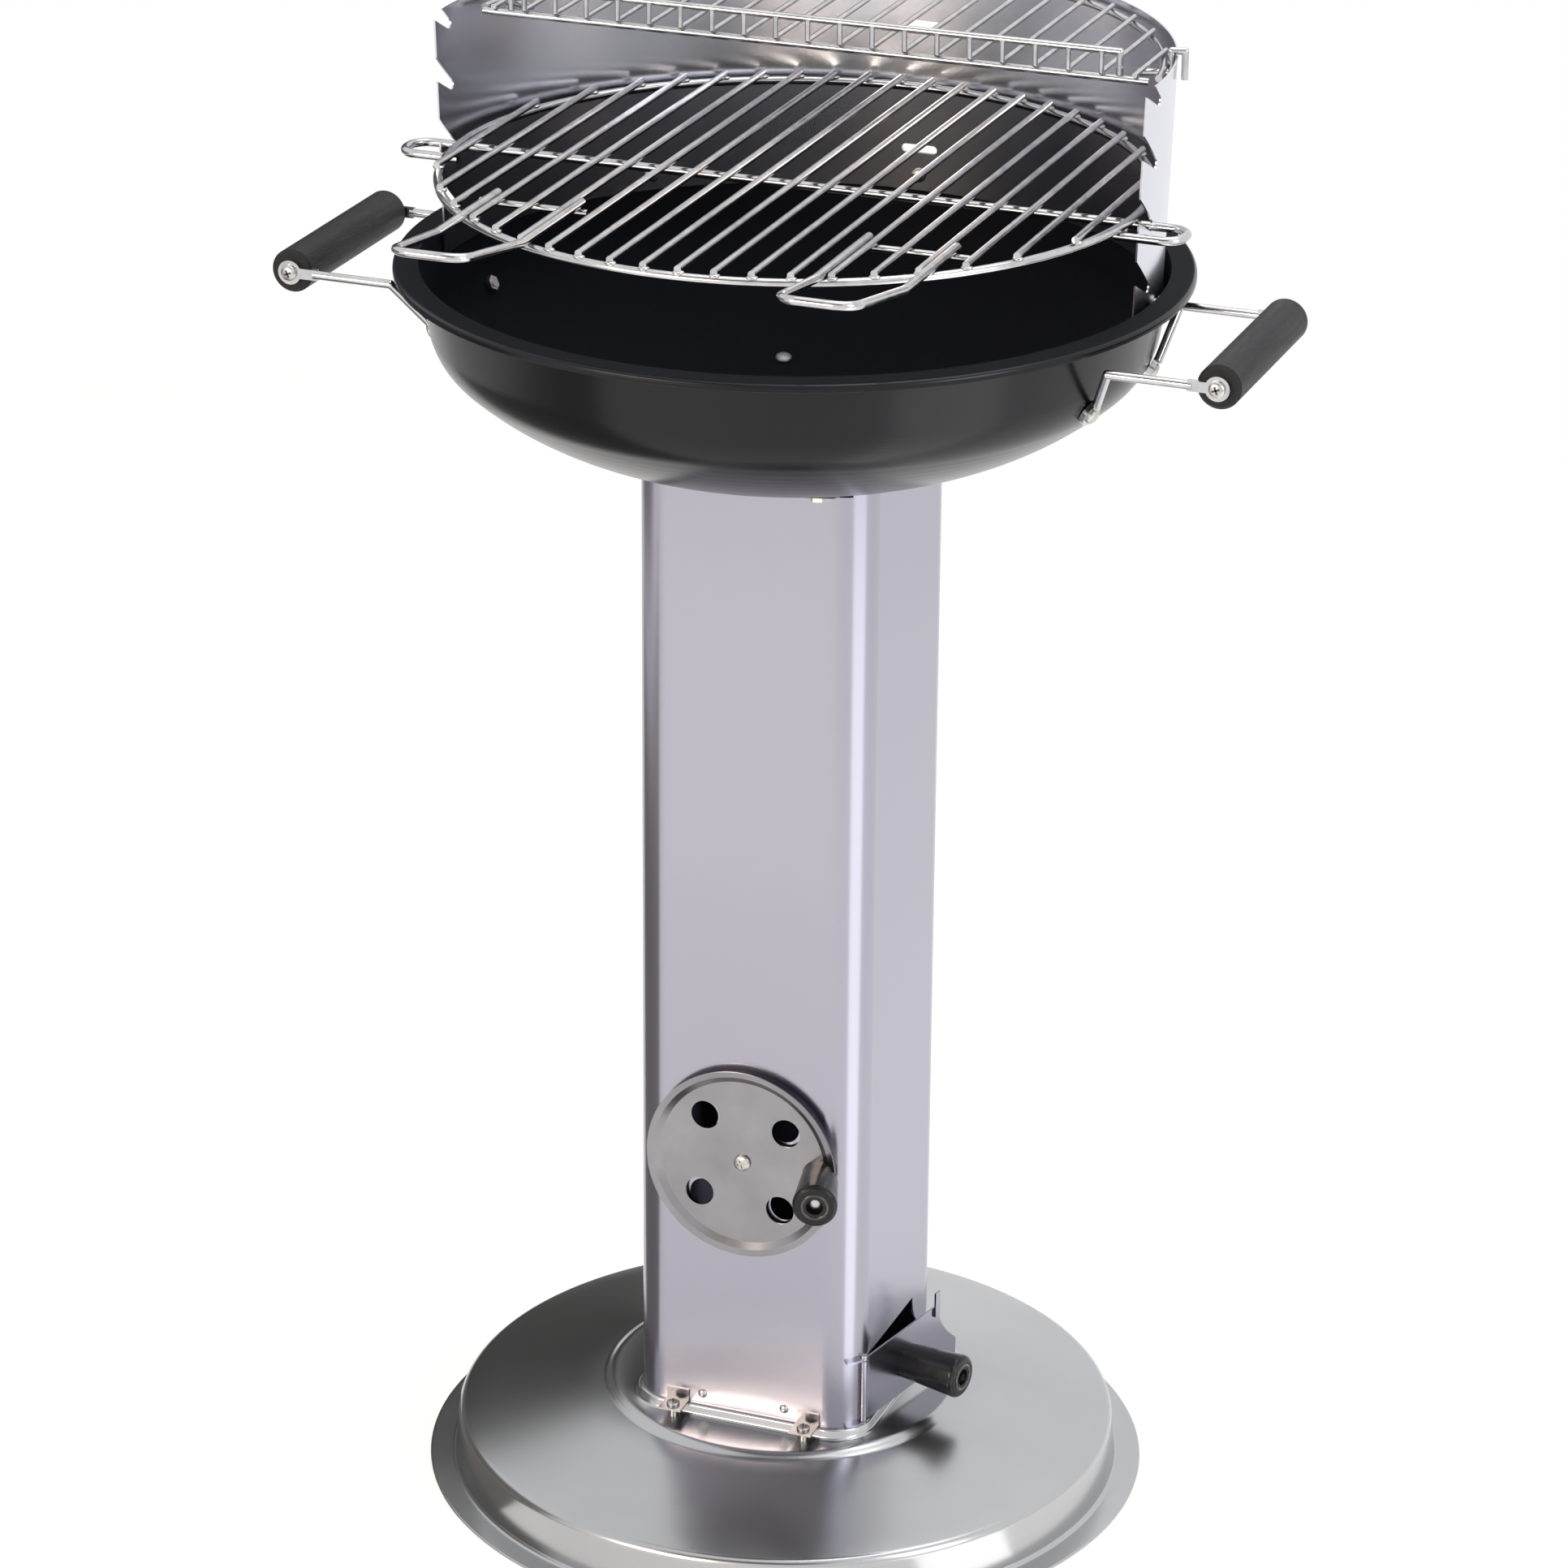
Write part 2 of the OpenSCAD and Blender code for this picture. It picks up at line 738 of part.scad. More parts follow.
module flap() {
    color("lightsteelblue") flap_at_rest() difference() {
        union() {
            intersection() {
                column_tube(flap_low, flap_top);
                flap_window(0, 0, flap_low);
            }
            translate([hinge_x, hinge_y, ear_low + ear_t + moving_gap])
                cylinder(r = knuckle_r, h = flap_top - ear_low - ear_t - 2 * moving_gap, $fn = 32);
            translate([half_w - tongue_skin, flap_end_y(0) - tongue_w, flap_top - tongue_root])
                cube([tongue_skin + tongue_off + tongue_t, tongue_w, tongue_root - tongue_skin]);
            translate([half_w + tongue_off, flap_end_y(0) - tongue_w, flap_top - tongue_root])
                cube([tongue_t, tongue_w, tongue_root + tongue_rise]);
        }
        translate([hinge_x, hinge_y, flap_low - overrun])
            cylinder(r = pin_r + running_gap, h = flap_h + 2 * overrun, $fn = 32);
        translate([hinge_x, hinge_y, flap_low - overrun])
            cylinder(r = knuckle_clear_r, h = ear_low + ear_t + moving_gap - flap_low + overrun, $fn = 32);
        on_flap()
            translate([0, 0, -column_t - overrun])
                cylinder(r = knob_screw_r + shank_gap, h = column_t + 2 * overrun, $fn = 24);
    }
}

module flap_knob() {
    color("black") flap_at_rest()
        on_flap()
            knob(0);
}

module flap_knob_screw() {
    back = column_t + knob_nut_h + seat_gap + knob_screw_tail;
    color("gray") flap_at_rest() on_flap() {
        knob_screw(back);
        translate([0, 0, -column_t - touch_gap - knob_nut_h])
            hex_nut(knob_nut_r, knob_nut_h, knob_screw_r);
    }
}

// Outline of the disc's section, from the spindle out to the dished rim
function disc_mid_r() = (disc_flat_d + (disc_d - disc_flat_d) * disc_mid_share) / 2;
function disc_line(z) = [[disc_flat_d / 2, z], [disc_mid_r(), z + disc_dish_mid], [disc_d / 2, z + disc_dish]];

// Stands its children at the disc's knob, with +Z along the knob
module at_disc_knob() {
    rotate(disc_knob_a)
        translate([disc_knob_at, 0, disc_off + disc_t])
            rotate([0, disc_knob_tilt, 0])
                children();
}

module air_disc() {
    color("silver") on_front() difference() {
        rotate_extrude($fn = 96)
            polygon(concat([[0, disc_off]], disc_line(disc_off), reversed(disc_line(disc_off + disc_t)),
                [[0, disc_off + disc_t]]));
        cylinder(r = spindle_r + running_gap, h = disc_off + disc_t + overrun, $fn = 32);
        air_holes(disc_turn, disc_off + disc_t + disc_dish + overrun);
        at_disc_knob()
            translate([0, 0, -2 * overrun])
                cylinder(r = knob_screw_r + touch_gap, h = 3 * overrun, $fn = 24);
    }
}

module disc_knob() {
    front = disc_off + disc_t + touch_gap;
    color("black") on_front() difference() {
        at_disc_knob()
            knob(knob_root);
        rotate_extrude($fn = 96)
            polygon(concat([[0, -2 * overrun], [0, front]], disc_line(front),
                [[disc_d, front + disc_dish], [disc_d, -2 * overrun]]));
    }
}

module disc_knob_screw() {
    color("gray") on_front()
        at_disc_knob()
            knob_screw(disc_t);
}

module disc_screw() {
    seat = disc_off + disc_t + moving_gap;
    back = column_t + spindle_nut_h + 2 * seat_gap + spindle_tail;
    color("gray") on_front() translate([0, 0, seat]) difference() {
        mirror([0, 0, 1])
            bolt(spindle_head_r, spindle_head_h, spindle_r, seat + back);
        for (a = [20, 110])
            rotate(a)
                translate([-cross_l / 2, -cross_w / 2, spindle_head_h - cross_depth])
                    cube([cross_l, cross_w, cross_depth + overrun]);
    }
}

module disc_washer() {
    color("gray") on_front() difference() {
        cylinder(r = disc_washer_r, h = disc_off - moving_gap);
        translate([0, 0, -overrun])
            cylinder(r = spindle_r + shank_gap, h = disc_off + 2 * overrun, $fn = 32);
    }
}

module disc_nut() {
    color("gray") on_front()
        translate([0, 0, -column_t - seat_gap - spindle_nut_h])
            hex_nut(spindle_nut_r, spindle_nut_h, spindle_r);
}

// Strips that lie under the bowl, with legs welded inside the column
module bowl_brackets() {
    color("dimgray") mirrored_x() {
        bowl_bracket(bracket_rear_y, bowl_bolt_rear_y);
        mirror([0, 1, 0])
            bowl_bracket(bracket_front_y, bowl_bolt_front_y);
    }
}

module bowl_bracket(out_y, bolt_y) {
    near = norm([bracket_x - bracket_w / 2, inner_w - bracket_t]);
    strip_end_a = asin((norm([bracket_x + bracket_w / 2, out_y]) - side_c_r) / bowl_side_r) + wall_lean / 2;
    strip_start_a = asin(bracket_in_y / bowl_floor_r);
    difference() {
        union() {
            intersection() {
                rotate_extrude($fn = 144)
                    polygon(concat(bracket_line(bracket_gap, strip_start_a, strip_end_a),
                        reversed(bracket_line(bracket_gap + bracket_t, strip_start_a, strip_end_a))));
                translate([bracket_x - bracket_w / 2, inner_w - bracket_t, column_top - overrun])
                    cube([bracket_w, out_y - inner_w + bracket_t, out_y]);
            }
            translate([bracket_x - bracket_w / 2, inner_w - bracket_t, column_top - bracket_leg_h])
                cube([bracket_leg_w, bracket_t, bracket_leg_h + dome_z(near, bracket_gap) - column_top - bracket_gap]);
        }
        bowl_bolt_place(bolt_y, 0)
            translate([0, 0, -overrun])
                cylinder(r = bowl_bolt_r + shank_gap, h = bracket_t + 2 * overrun, $fn = 24);
    }
}

function bracket_line(out, start_a, end_a) = concat(
    arc_up([0, floor_c_z], bowl_floor_r + out, start_a, floor_end_a, 4),
    arc_up([side_c_r, side_c_z], bowl_side_r + out, floor_end_a, end_a, 6));

// Stands its children on the bowl's outside, moved out by a distance, with +Z out of the bowl
module bowl_bolt_place(bolt_y, out) {
    at = norm([bracket_x, bolt_y]);
    on_side = at > bowl_floor_r * sin(floor_end_a);
    slope = on_side ? asin((at - side_c_r) / bowl_side_r) : asin(at / bowl_floor_r);
    z = on_side ? side_c_z - bowl_side_r * cos(slope) : dome_z(at, 0);
    dir = [sin(slope) * bracket_x / at, sin(slope) * bolt_y / at, -cos(slope)];
    aim([bracket_x, bolt_y, z] + out * dir, dir)
        children();
}

// Stands its children at all four bolts of the bowl
module at_bowl_bolts(out) {
    mirrored_x() {
        bowl_bolt_place(bowl_bolt_rear_y, out)
            children();
        bowl_bolt_place(-bowl_bolt_front_y, out)
            children();
    }
}

module bowl() {
    edge_c = [rim_r - rim_edge_r, rim_h - rim_edge_r];
    color("black") difference() {
        rotate_extrude($fn = 180)
            polygon(concat(
                bowl_line(0, draught_d / 2),
                [[bowl_wall_r(rim_h - bowl_t), rim_h - bowl_t]],
                [for (t = [90 : -15 : 0]) edge_c + (rim_edge_r - bowl_t) * [cos(t), sin(t)]],
                [[rim_r - bowl_t, rim_h - rim_lip], [rim_r, rim_h - rim_lip]],
                [for (t = [0 : 15 : 90]) edge_c + rim_edge_r * [cos(t), sin(t)]],
                [[mouth_r - bowl_t / cos(wall_lean), rim_h]],
                reversed(bowl_line(-bowl_t, draught_d / 2))));
        at_bowl_bolts(0)
            translate([0, 0, -bowl_t - overrun])
                cylinder(r = bowl_bolt_r + shank_gap, h = bowl_t + 2 * overrun, $fn = 24);
        for (a = shield_bolt_angles)
            rotate(a)
                translate([shield_low_r, 0, shield_bolt_z])
                    rotate([0, 90, 0])
                        cylinder(r = shield_bolt_r + shank_gap, h = 2 * overrun, $fn = 24);
        mirrored_x()
            for (a = [handle_front_a, handle_rear_a])
                handle_foot(a, 0)
                    translate([0, 0, -bowl_t - overrun])
                        cylinder(r = handle_bolt_r + shank_gap, h = bowl_t + 2 * overrun, $fn = 24);
    }
}

module bowl_bolts() {
    back = bowl_t + bracket_gap + bracket_t + bowl_nut_h + 2 * seat_gap + bowl_bolt_tail;
    color("gray")
        at_bowl_bolts(-bowl_t - seat_gap)
            bolt(bowl_bolt_head_r, bowl_bolt_head_h, bowl_bolt_r, back);
}

module bowl_nuts() {
    color("gray")
        at_bowl_bolts(bracket_gap + bracket_t + seat_gap)
            hex_nut(bowl_nut_r, bowl_nut_h, bowl_bolt_r);
}

// Slot for the grid's wire, open at the sheet's front edge and sloping down towards the back
module notch_cut() {
    low = [-cos(notch_low_a), sin(notch_low_a)];
    high = [-cos(notch_high_a), sin(notch_high_a)];
    turn = 180 - notch_low_a + notch_high_a;
    rotate([90, 0, 90])
        linear_extrude(height = 2 * notch_cut_depth)
            polygon(concat(
                [for (i = [0 : notch_arc_steps]) let (t = -90 - notch_low_a + turn * i / notch_arc_steps)
                    notch_r * [cos(t), sin(t)]],
                [notch_r * [sin(notch_high_a), cos(notch_high_a)] + notch_run * high,
                    notch_r * [-sin(notch_low_a), -cos(notch_low_a)] + notch_run * low]));
}

// One rolled sheet of the shield between two angles, drawn in by a distance
module shield_sheet(from_a, to_a, inset) {
    low_r = shield_low_r - inset;
    high_r = shield_r(shield_high) - inset;
    rotate(from_a)
        rotate_extrude(angle = to_a - from_a, $fn = 180)
            polygon([[low_r, shield_low], [high_r, shield_high], [high_r - shield_t, shield_high],
                [low_r - shield_t, shield_low]]);
}

module shield_cuts(side) {
    for (i = [0 : notch_count - 1])
        scale([side, 1, 1])
            translate([shield_low_r - notch_cut_depth, 0, rim_h + notch_first_rise + i * notch_pitch + notch_r])
                notch_cut();
    for (a = shield_bolt_angles)
        rotate(a)
            translate([shield_low_r - 2 * overrun, 0, shield_bolt_z])
                rotate([0, 90, 0])
                    cylinder(r = shield_bolt_r + shank_gap, h = 4 * overrun, $fn = 24);
    for (i = [0 : 2])
        translate([0, slot_cut_y, rim_h + slot_first_rise + i * slot_pitch])
            rotate([-90, 0, 0])
                slot_prism();
}

module slot_prism() {
    flat = slot_w - slot_h;
    linear_extrude(height = slot_cut_l) {
        square([flat, slot_h], center = true);
        for (x = [-flat / 2, flat / 2])
            translate([x, 0])
                circle(d = slot_h, $fn = 24);
    }
}

module shield_left() {
    color("gainsboro") difference() {
        shield_sheet(90 - lap_a, 180 - shield_edge_a, 0);
        shield_cuts(-1);
    }
}

module shield_right() {
    color("gainsboro") difference() {
        shield_sheet(shield_edge_a, 90 + lap_a, shield_t + lap_gap);
        shield_cuts(1);
    }
}

// Inner face of the sheet that a shield bolt's head seats on
function shield_seat_r(a) = shield_r(shield_bolt_z - shield_head_r) - shield_t - lap_in(a) - seat_gap;

module shield_bolts() {
    color("gray") for (a = shield_bolt_angles)
        rotate(a)
            translate([shield_seat_r(a), 0, shield_bolt_z])
                rotate([0, 90, 0])
                    bolt(shield_head_r, shield_head_h, shield_bolt_r,
                        bowl_wall_r(shield_bolt_z) + shield_nut_stand + shield_nut_h + shield_bolt_tail - shield_seat_r(a));
}

// Rings that fill the gap between the shield and the bowl's leaning wall
module shield_spacers() {
    low = shield_bolt_z - spacer_r;
    high = shield_bolt_z + spacer_r;
    wall = bowl_t / cos(wall_lean) + spacer_gap;
    color("gray") intersection() {
        for (a = shield_bolt_angles)
            rotate(a)
                translate([shield_low_r - 2 * overrun, 0, shield_bolt_z])
                    rotate([0, 90, 0])
                        difference() {
                            cylinder(r = spacer_r, h = 4 * overrun, $fn = 32);
                            translate([0, 0, -overrun])
                                cylinder(r = shield_bolt_r + shank_gap, h = 6 * overrun, $fn = 24);
                        }
        rotate_extrude($fn = 180)
            polygon([[shield_r(low - overrun) + spacer_gap, low - overrun],
                [bowl_wall_r(low - overrun) - wall, low - overrun],
                [bowl_wall_r(high + overrun) - wall, high + overrun],
                [shield_r(high + overrun) + spacer_gap, high + overrun]]);
    }
}

module shield_nuts() {
    color("gray") for (a = shield_bolt_angles)
        rotate(a)
            translate([bowl_wall_r(shield_bolt_z) + shield_nut_stand, 0, shield_bolt_z])
                rotate([0, 90, 0])
                    hex_nut(shield_nut_r, shield_nut_h, shield_bolt_r);
}

module grip() {
    l = grip_rear_y - grip_front_y;
    translate([grip_x, grip_front_y, grip_z])
        rotate([-90, 0, 0])
            difference() {
                rotate_extrude()
                    polygon([[0, 0], [grip_r - grip_chamfer, 0], [grip_r, grip_chamfer], [grip_r, l - grip_chamfer],
                        [grip_r - grip_chamfer, l], [0, l]]);
                for (z = [-overrun, l - grip_hole_l])
                    translate([0, 0, z])
                        cylinder(r = grip_screw_r + touch_gap, h = grip_hole_l + overrun, $fn = 24);
            }
}

module grip_left() {
    color("#2a2a2c")
        mirror([1, 0, 0])
            grip();
}

module grip_right() {
    color("#2a2a2c")
        grip();
}

// Stands its children on the bowl's turn at an angle, moved out by a distance, with +Z out of the bowl
module handle_foot(a, out) {
    dir = [cos(handle_turn_a) * cos(a), cos(handle_turn_a) * sin(a), -sin(handle_turn_a)];
    foot = [handle_foot_r * cos(a), handle_foot_r * sin(a), handle_foot_z];
    aim(foot + out * dir, dir)
        children();
}

// Wire from an eye on the bowl, round an elbow, to an eye on a grip's end
module handle_wire(a, eye_y) {
    lift_r = handle_foot_r + wire_foot_off * cos(handle_turn_a) + wire_foot_up * sin(handle_turn_a);
    lift_z = handle_foot_z - wire_foot_off * sin(handle_turn_a) + wire_foot_up * cos(handle_turn_a);
    difference() {
        union() {
            wire([[lift_r * cos(a), lift_r * sin(a), lift_z], [elbow_x, eye_y, grip_z],
                [grip_x - eye_neck_l + handle_wire_r, eye_y, grip_z]], handle_wire_r);
            translate([grip_x - eye_neck_l, eye_y - eye_t / 2, grip_z - eye_neck_h / 2])
                cube([eye_neck_l, eye_t, eye_neck_h]);
            translate([grip_x, eye_y - eye_t / 2, grip_z])
                rotate([-90, 0, 0])
                    cylinder(r = eye_r, h = eye_t, $fn = 32);
            handle_foot(a, eye_lift)
                cylinder(r = eye_r, h = eye_t, $fn = 32);
        }
        translate([grip_x, eye_y - eye_t, grip_z])
            rotate([-90, 0, 0])
                cylinder(r = grip_screw_r + shank_gap, h = 2 * eye_t, $fn = 24);
        handle_foot(a, eye_lift - overrun)
            cylinder(r = handle_bolt_r + shank_gap, h = eye_t + 2 * overrun, $fn = 24);
        handle_foot(a, eye_lift + eye_t)
            cylinder(r = handle_head_r + seat_gap, h = handle_head_h + overrun, $fn = 32);
    }
}

function eye_front_y() = grip_front_y - touch_gap - eye_t / 2;
function eye_rear_y() = grip_rear_y + touch_gap + eye_t / 2;

module handle_wires() {
    color("silver") mirrored_x() {
        handle_wire(handle_front_a, eye_front_y());
        handle_wire(handle_rear_a, eye_rear_y());
    }
}

module grip_screws() {
    out = eye_t / 2 + touch_gap;
    color("gray") mirrored_x() {
        translate([grip_x, eye_front_y() - out, grip_z])
            rotate([-90, 0, 0])
                bolt(grip_head_r, grip_head_h, grip_screw_r, grip_screw_l);
        translate([grip_x, eye_rear_y() + out, grip_z])
            rotate([90, 0, 0])
                bolt(grip_head_r, grip_head_h, grip_screw_r, grip_screw_l);
    }
}

module handle_bolts() {
    seat = eye_lift + eye_t + touch_gap;
    color("gray") mirrored_x()
        for (a = [handle_front_a, handle_rear_a])
            handle_foot(a, seat)
                mirror([0, 0, 1])
                    bolt(handle_head_r, handle_head_h, handle_bolt_r,
                        seat + bowl_t + seat_gap + handle_nut_h + handle_bolt_tail);
}

module handle_nuts() {
    color("gray") mirrored_x()
        for (a = [handle_front_a, handle_rear_a])
            handle_foot(a, -bowl_t - 3 * seat_gap - handle_nut_h)
                hex_nut(handle_nut_r, handle_nut_h, handle_bolt_r);
}

module grid_ring() {
    color("white")
        translate([0, 0, grid_ring_z])
            wire_ring(grid_r, grid_wire_r);
}

module grid_bars() {
    color("white") for (i = [(1 - grid_bar_count) / 2 : (grid_bar_count - 1) / 2]) {
        x = i * grid_pitch;
        y = sqrt(pow(grid_r + grid_overlap, 2) - x * x);
        rod([x, -y, grid_bar_z], [x, y, grid_bar_z], grid_bar_r);
    }
}

// Wire across the grid that rests in the notches, with an ear outside each front edge of the shield
module grid_cross_wire() {
    x = ear_out_x - ear_round;
    z = grid_cross_z;
    end_x = sqrt(pow(grid_r, 2) - pow(ear_front_y, 2)) - ear_end_in;
    color("white") {
        rod([-x, 0, z], [x, 0, z], grid_wire_r);
        mirrored_x() {
            wire_bend([x, -ear_round, z], ear_round, 0, 90, grid_wire_r);
            rod([ear_out_x, -ear_round, z], [ear_out_x, -ear_front_y + ear_round, z], grid_wire_r);
            wire_bend([x, -ear_front_y + ear_round, z], ear_round, -90, 0, grid_wire_r);
            rod([x, -ear_front_y, z], [end_x, -ear_front_y, z], grid_wire_r);
        }
    }
}

// U-shaped handle of the grid and the short wire under its inner ends
module grid_loop() {
    run = norm([handle_tip_y - loop_bend_y, loop_rise]);
    tip_x = loop_tip_half_w - loop_round;
    translate([loop_x, 0, 0]) {
        for (side = [-1, 1]) {
            rod([side * loop_half_w, -loop_in_y + loop_end_in, loop_z], [side * loop_half_w, -loop_bend_y, loop_z],
                grid_wire_r);
            translate([side * loop_half_w, -loop_bend_y, loop_z])
                sphere(r = grid_wire_r + bend_ease, $fn = 24);
        }
        translate([0, -loop_bend_y, loop_z])
            rotate([-atan(loop_rise / (handle_tip_y - loop_bend_y)), 0, 0]) {
                mirrored_x() {
                    rod([loop_half_w, 0, 0], [loop_tip_half_w, loop_round - run, 0], grid_wire_r);
                    translate([loop_tip_half_w, loop_round - run, 0])
                        sphere(r = grid_wire_r + bend_ease, $fn = 24);
                    wire_bend([tip_x, loop_round - run, 0], loop_round, -90, 0, grid_wire_r);
                }
                rod([-tip_x, -run, 0], [tip_x, -run, 0], grid_wire_r);
            }
    }
    rod([loop_x - loop_half_w - loop_cross_in, -loop_in_y, loop_cross_z],
        [loop_x + loop_half_w + loop_cross_out, -loop_in_y, loop_cross_z], loop_cross_r);
}

module grid_handle_left() {
    color("white")
        mirror([1, 0, 0])
            grid_loop();
}

module grid_handle_right() {
    color("white")
        grid_loop();
}

module rack_front_wire() {
    x = sqrt(pow(rack_r, 2) - pow(rack_front_y, 2)) - 2 * rack_wire_r;
    color("white")
        rod([-x, rack_front_y, rack_z], [x, rack_front_y, rack_z], rack_wire_r);
}

module rack_arc_wire() {
    color("white")
        translate([0, 0, rack_z])
            rotate(rack_arc_start_a)
                rotate_extrude(angle = 180 - 2 * rack_arc_start_a, $fn = 180)
                    translate([rack_r, 0])
                        circle(r = rack_wire_r, $fn = 24);
}

module rack_bars() {
    y0 = rack_front_y - rack_bar_front;
    color("white") for (i = [(1 - rack_bar_count) / 2 : (rack_bar_count - 1) / 2]) {
        x = i * rack_pitch;
        back = sqrt(max(0, pow(rack_r + rack_bar_back, 2) - x * x));
        if (abs(x) < fence_half)
            wire([[x, back, rack_bar_z], [x, y0, rack_bar_z], [x, y0, fence_z]], rack_bar_r);
        else
            rod([x, back, rack_bar_z], [x, y0, rack_bar_z], rack_bar_r);
    }
}

module rack_fence_wire() {
    foot = rack_z + rack_wire_r + touch_gap;
    color("white")
        wire([[-fence_half, fence_y, foot], [-fence_half, fence_y, fence_z], [fence_half, fence_y, fence_z],
            [fence_half, fence_y, foot]], rack_wire_r);
}

module rack_hooks() {
    color("white") for (a = hook_angles)
        rotate(a)
            wire([[rack_r - hook_in, 0, hook_in_z], [hook_up_r, 0, hook_in_z], [hook_up_r, 0, hook_over_z],
                [hook_down_r, 0, hook_over_z], [hook_down_r, 0, hook_over_z - hook_drop]], rack_wire_r);
}

module fire_grate_ring() {
    color("dimgray")
        translate([0, 0, grate_z])
            wire_ring(grate_r, grate_wire_r);
}

module fire_grate_bars() {
    last = floor((grate_r - grate_wire_r - grate_bar_r) / grate_pitch - 0.5) + 0.5;
    color("dimgray") for (i = [-last : last]) {
        x = i * grate_pitch;
        y = sqrt(grate_r * grate_r - x * x);
        rod([x, -y, grate_bar_z], [x, y, grate_bar_z], grate_bar_r);
    }
}

base_plate();
column();
seam_strip();
seam_rivets();
foot_lugs();
locating_tabs();
foot_screws();
foot_nuts();
hinge_ears();
flap_pin();
disc_screw();
disc_washer();
disc_nut();
bowl_brackets();
bowl();
bowl_bolts();
bowl_nuts();
shield_left();
shield_right();
shield_bolts();
shield_spacers();
shield_nuts();
grip_left();
grip_right();
handle_wires();
grip_screws();
handle_bolts();
handle_nuts();
air_disc();
disc_knob();
disc_knob_screw();
flap();
flap_knob();
flap_knob_screw();
grid_ring();
grid_bars();
grid_cross_wire();
grid_handle_left();
grid_handle_right();
rack_front_wire();
rack_arc_wire();
rack_bars();
rack_fence_wire();
rack_hooks();
fire_grate_ring();
fire_grate_bars();
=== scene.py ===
import bpy
import bmesh
import math
from mathutils import Matrix, Vector


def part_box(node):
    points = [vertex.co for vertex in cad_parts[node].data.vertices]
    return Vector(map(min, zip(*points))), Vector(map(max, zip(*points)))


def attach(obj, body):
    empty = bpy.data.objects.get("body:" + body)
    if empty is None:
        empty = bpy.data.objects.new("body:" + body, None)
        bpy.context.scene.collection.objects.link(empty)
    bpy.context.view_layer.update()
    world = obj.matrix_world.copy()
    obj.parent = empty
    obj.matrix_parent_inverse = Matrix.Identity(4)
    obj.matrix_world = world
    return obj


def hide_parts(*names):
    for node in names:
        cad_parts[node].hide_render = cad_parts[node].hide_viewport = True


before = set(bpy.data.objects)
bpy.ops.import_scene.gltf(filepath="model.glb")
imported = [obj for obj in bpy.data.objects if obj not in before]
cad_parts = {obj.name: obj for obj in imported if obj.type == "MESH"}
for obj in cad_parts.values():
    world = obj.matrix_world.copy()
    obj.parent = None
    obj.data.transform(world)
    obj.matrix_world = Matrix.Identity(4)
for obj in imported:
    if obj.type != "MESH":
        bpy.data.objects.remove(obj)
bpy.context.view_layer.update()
print("frame loaded")


# Node trees

# Sets an input to a plain value, or links it where the value is another node's socket
def feed(tree, socket, value):
    if isinstance(value, bpy.types.NodeSocket):
        tree.links.new(value, socket)
    else:
        socket.default_value = value


def nodeIn(tree, kind, values=None, **settings):
    made = tree.nodes.new(kind)
    for name, value in settings.items():
        setattr(made, name, value)
    for name, value in (values or {}).items():
        feed(tree, made.inputs[name], value)
    return made


def mathOf(tree, operation, first, second, clamped=False):
    made = nodeIn(tree, "ShaderNodeMath", {0: first, 1: second}, operation=operation, use_clamp=clamped)
    return made.outputs[0]


def vectorOf(tree, operation, *given):
    made = nodeIn(tree, "ShaderNodeVectorMath", dict(enumerate(given)), operation=operation)
    return made.outputs["Value" if operation in ("DOT_PRODUCT", "LENGTH") else "Vector"]


def noiseOf(tree, where, scale, detail, roughness=0.5):
    values = {"Vector": where, "Scale": scale, "Detail": detail, "Roughness": roughness}
    return nodeIn(tree, "ShaderNodeTexNoise", values).outputs["Fac"]


# A value from one range put into another, and held at its ends
def remap(tree, value, low, high, fromLow=0.3, fromHigh=0.7, **settings):
    values = {"Value": value, "From Min": fromLow, "From Max": fromHigh, "To Min": low, "To Max": high}
    return nodeIn(tree, "ShaderNodeMapRange", values, **settings).outputs[0]


def objectSpot(tree):
    return nodeIn(tree, "ShaderNodeTexCoord").outputs["Object"]


def surfaceNormal(tree):
    return nodeIn(tree, "ShaderNodeNewGeometry").outputs["Normal"]


# Effects that several finishes share

def newGroup(name, inputs, outputs):
    tree = bpy.data.node_groups.new(name, "ShaderNodeTree")
    for label, value in inputs.items():
        kind = "NodeSocketVector" if isinstance(value, tuple) else "NodeSocketFloat"
        tree.interface.new_socket(label, in_out="INPUT", socket_type=kind).default_value = value
    for label in outputs:
        tree.interface.new_socket(label, in_out="OUTPUT", socket_type="NodeSocketFloat")
    given = tree.nodes.new("NodeGroupInput")
    result = tree.nodes.new("NodeGroupOutput")
    return tree, given.outputs, result.inputs


# Fine lines left by rolling or grinding the sheet, and a slow cloudiness
def makeRollingGrain():
    tree, given, result = newGroup(
        "rollingGrain", {"Across": 900.0, "Along": 12.0, "Blotch": 14.0}, ["Lines", "Cloud"])
    spot = objectSpot(tree)
    stretch = nodeIn(tree, "ShaderNodeCombineXYZ", {
        "X": given["Across"], "Y": given["Across"], "Z": given["Along"]})
    stretched = vectorOf(tree, "MULTIPLY", spot, stretch.outputs[0])
    feed(tree, result["Lines"], noiseOf(tree, stretched, scale=1.0, detail=3.0, roughness=0.6))
    feed(tree, result["Cloud"], noiseOf(tree, spot, scale=given["Blotch"], detail=4.0, roughness=0.55))
    return tree


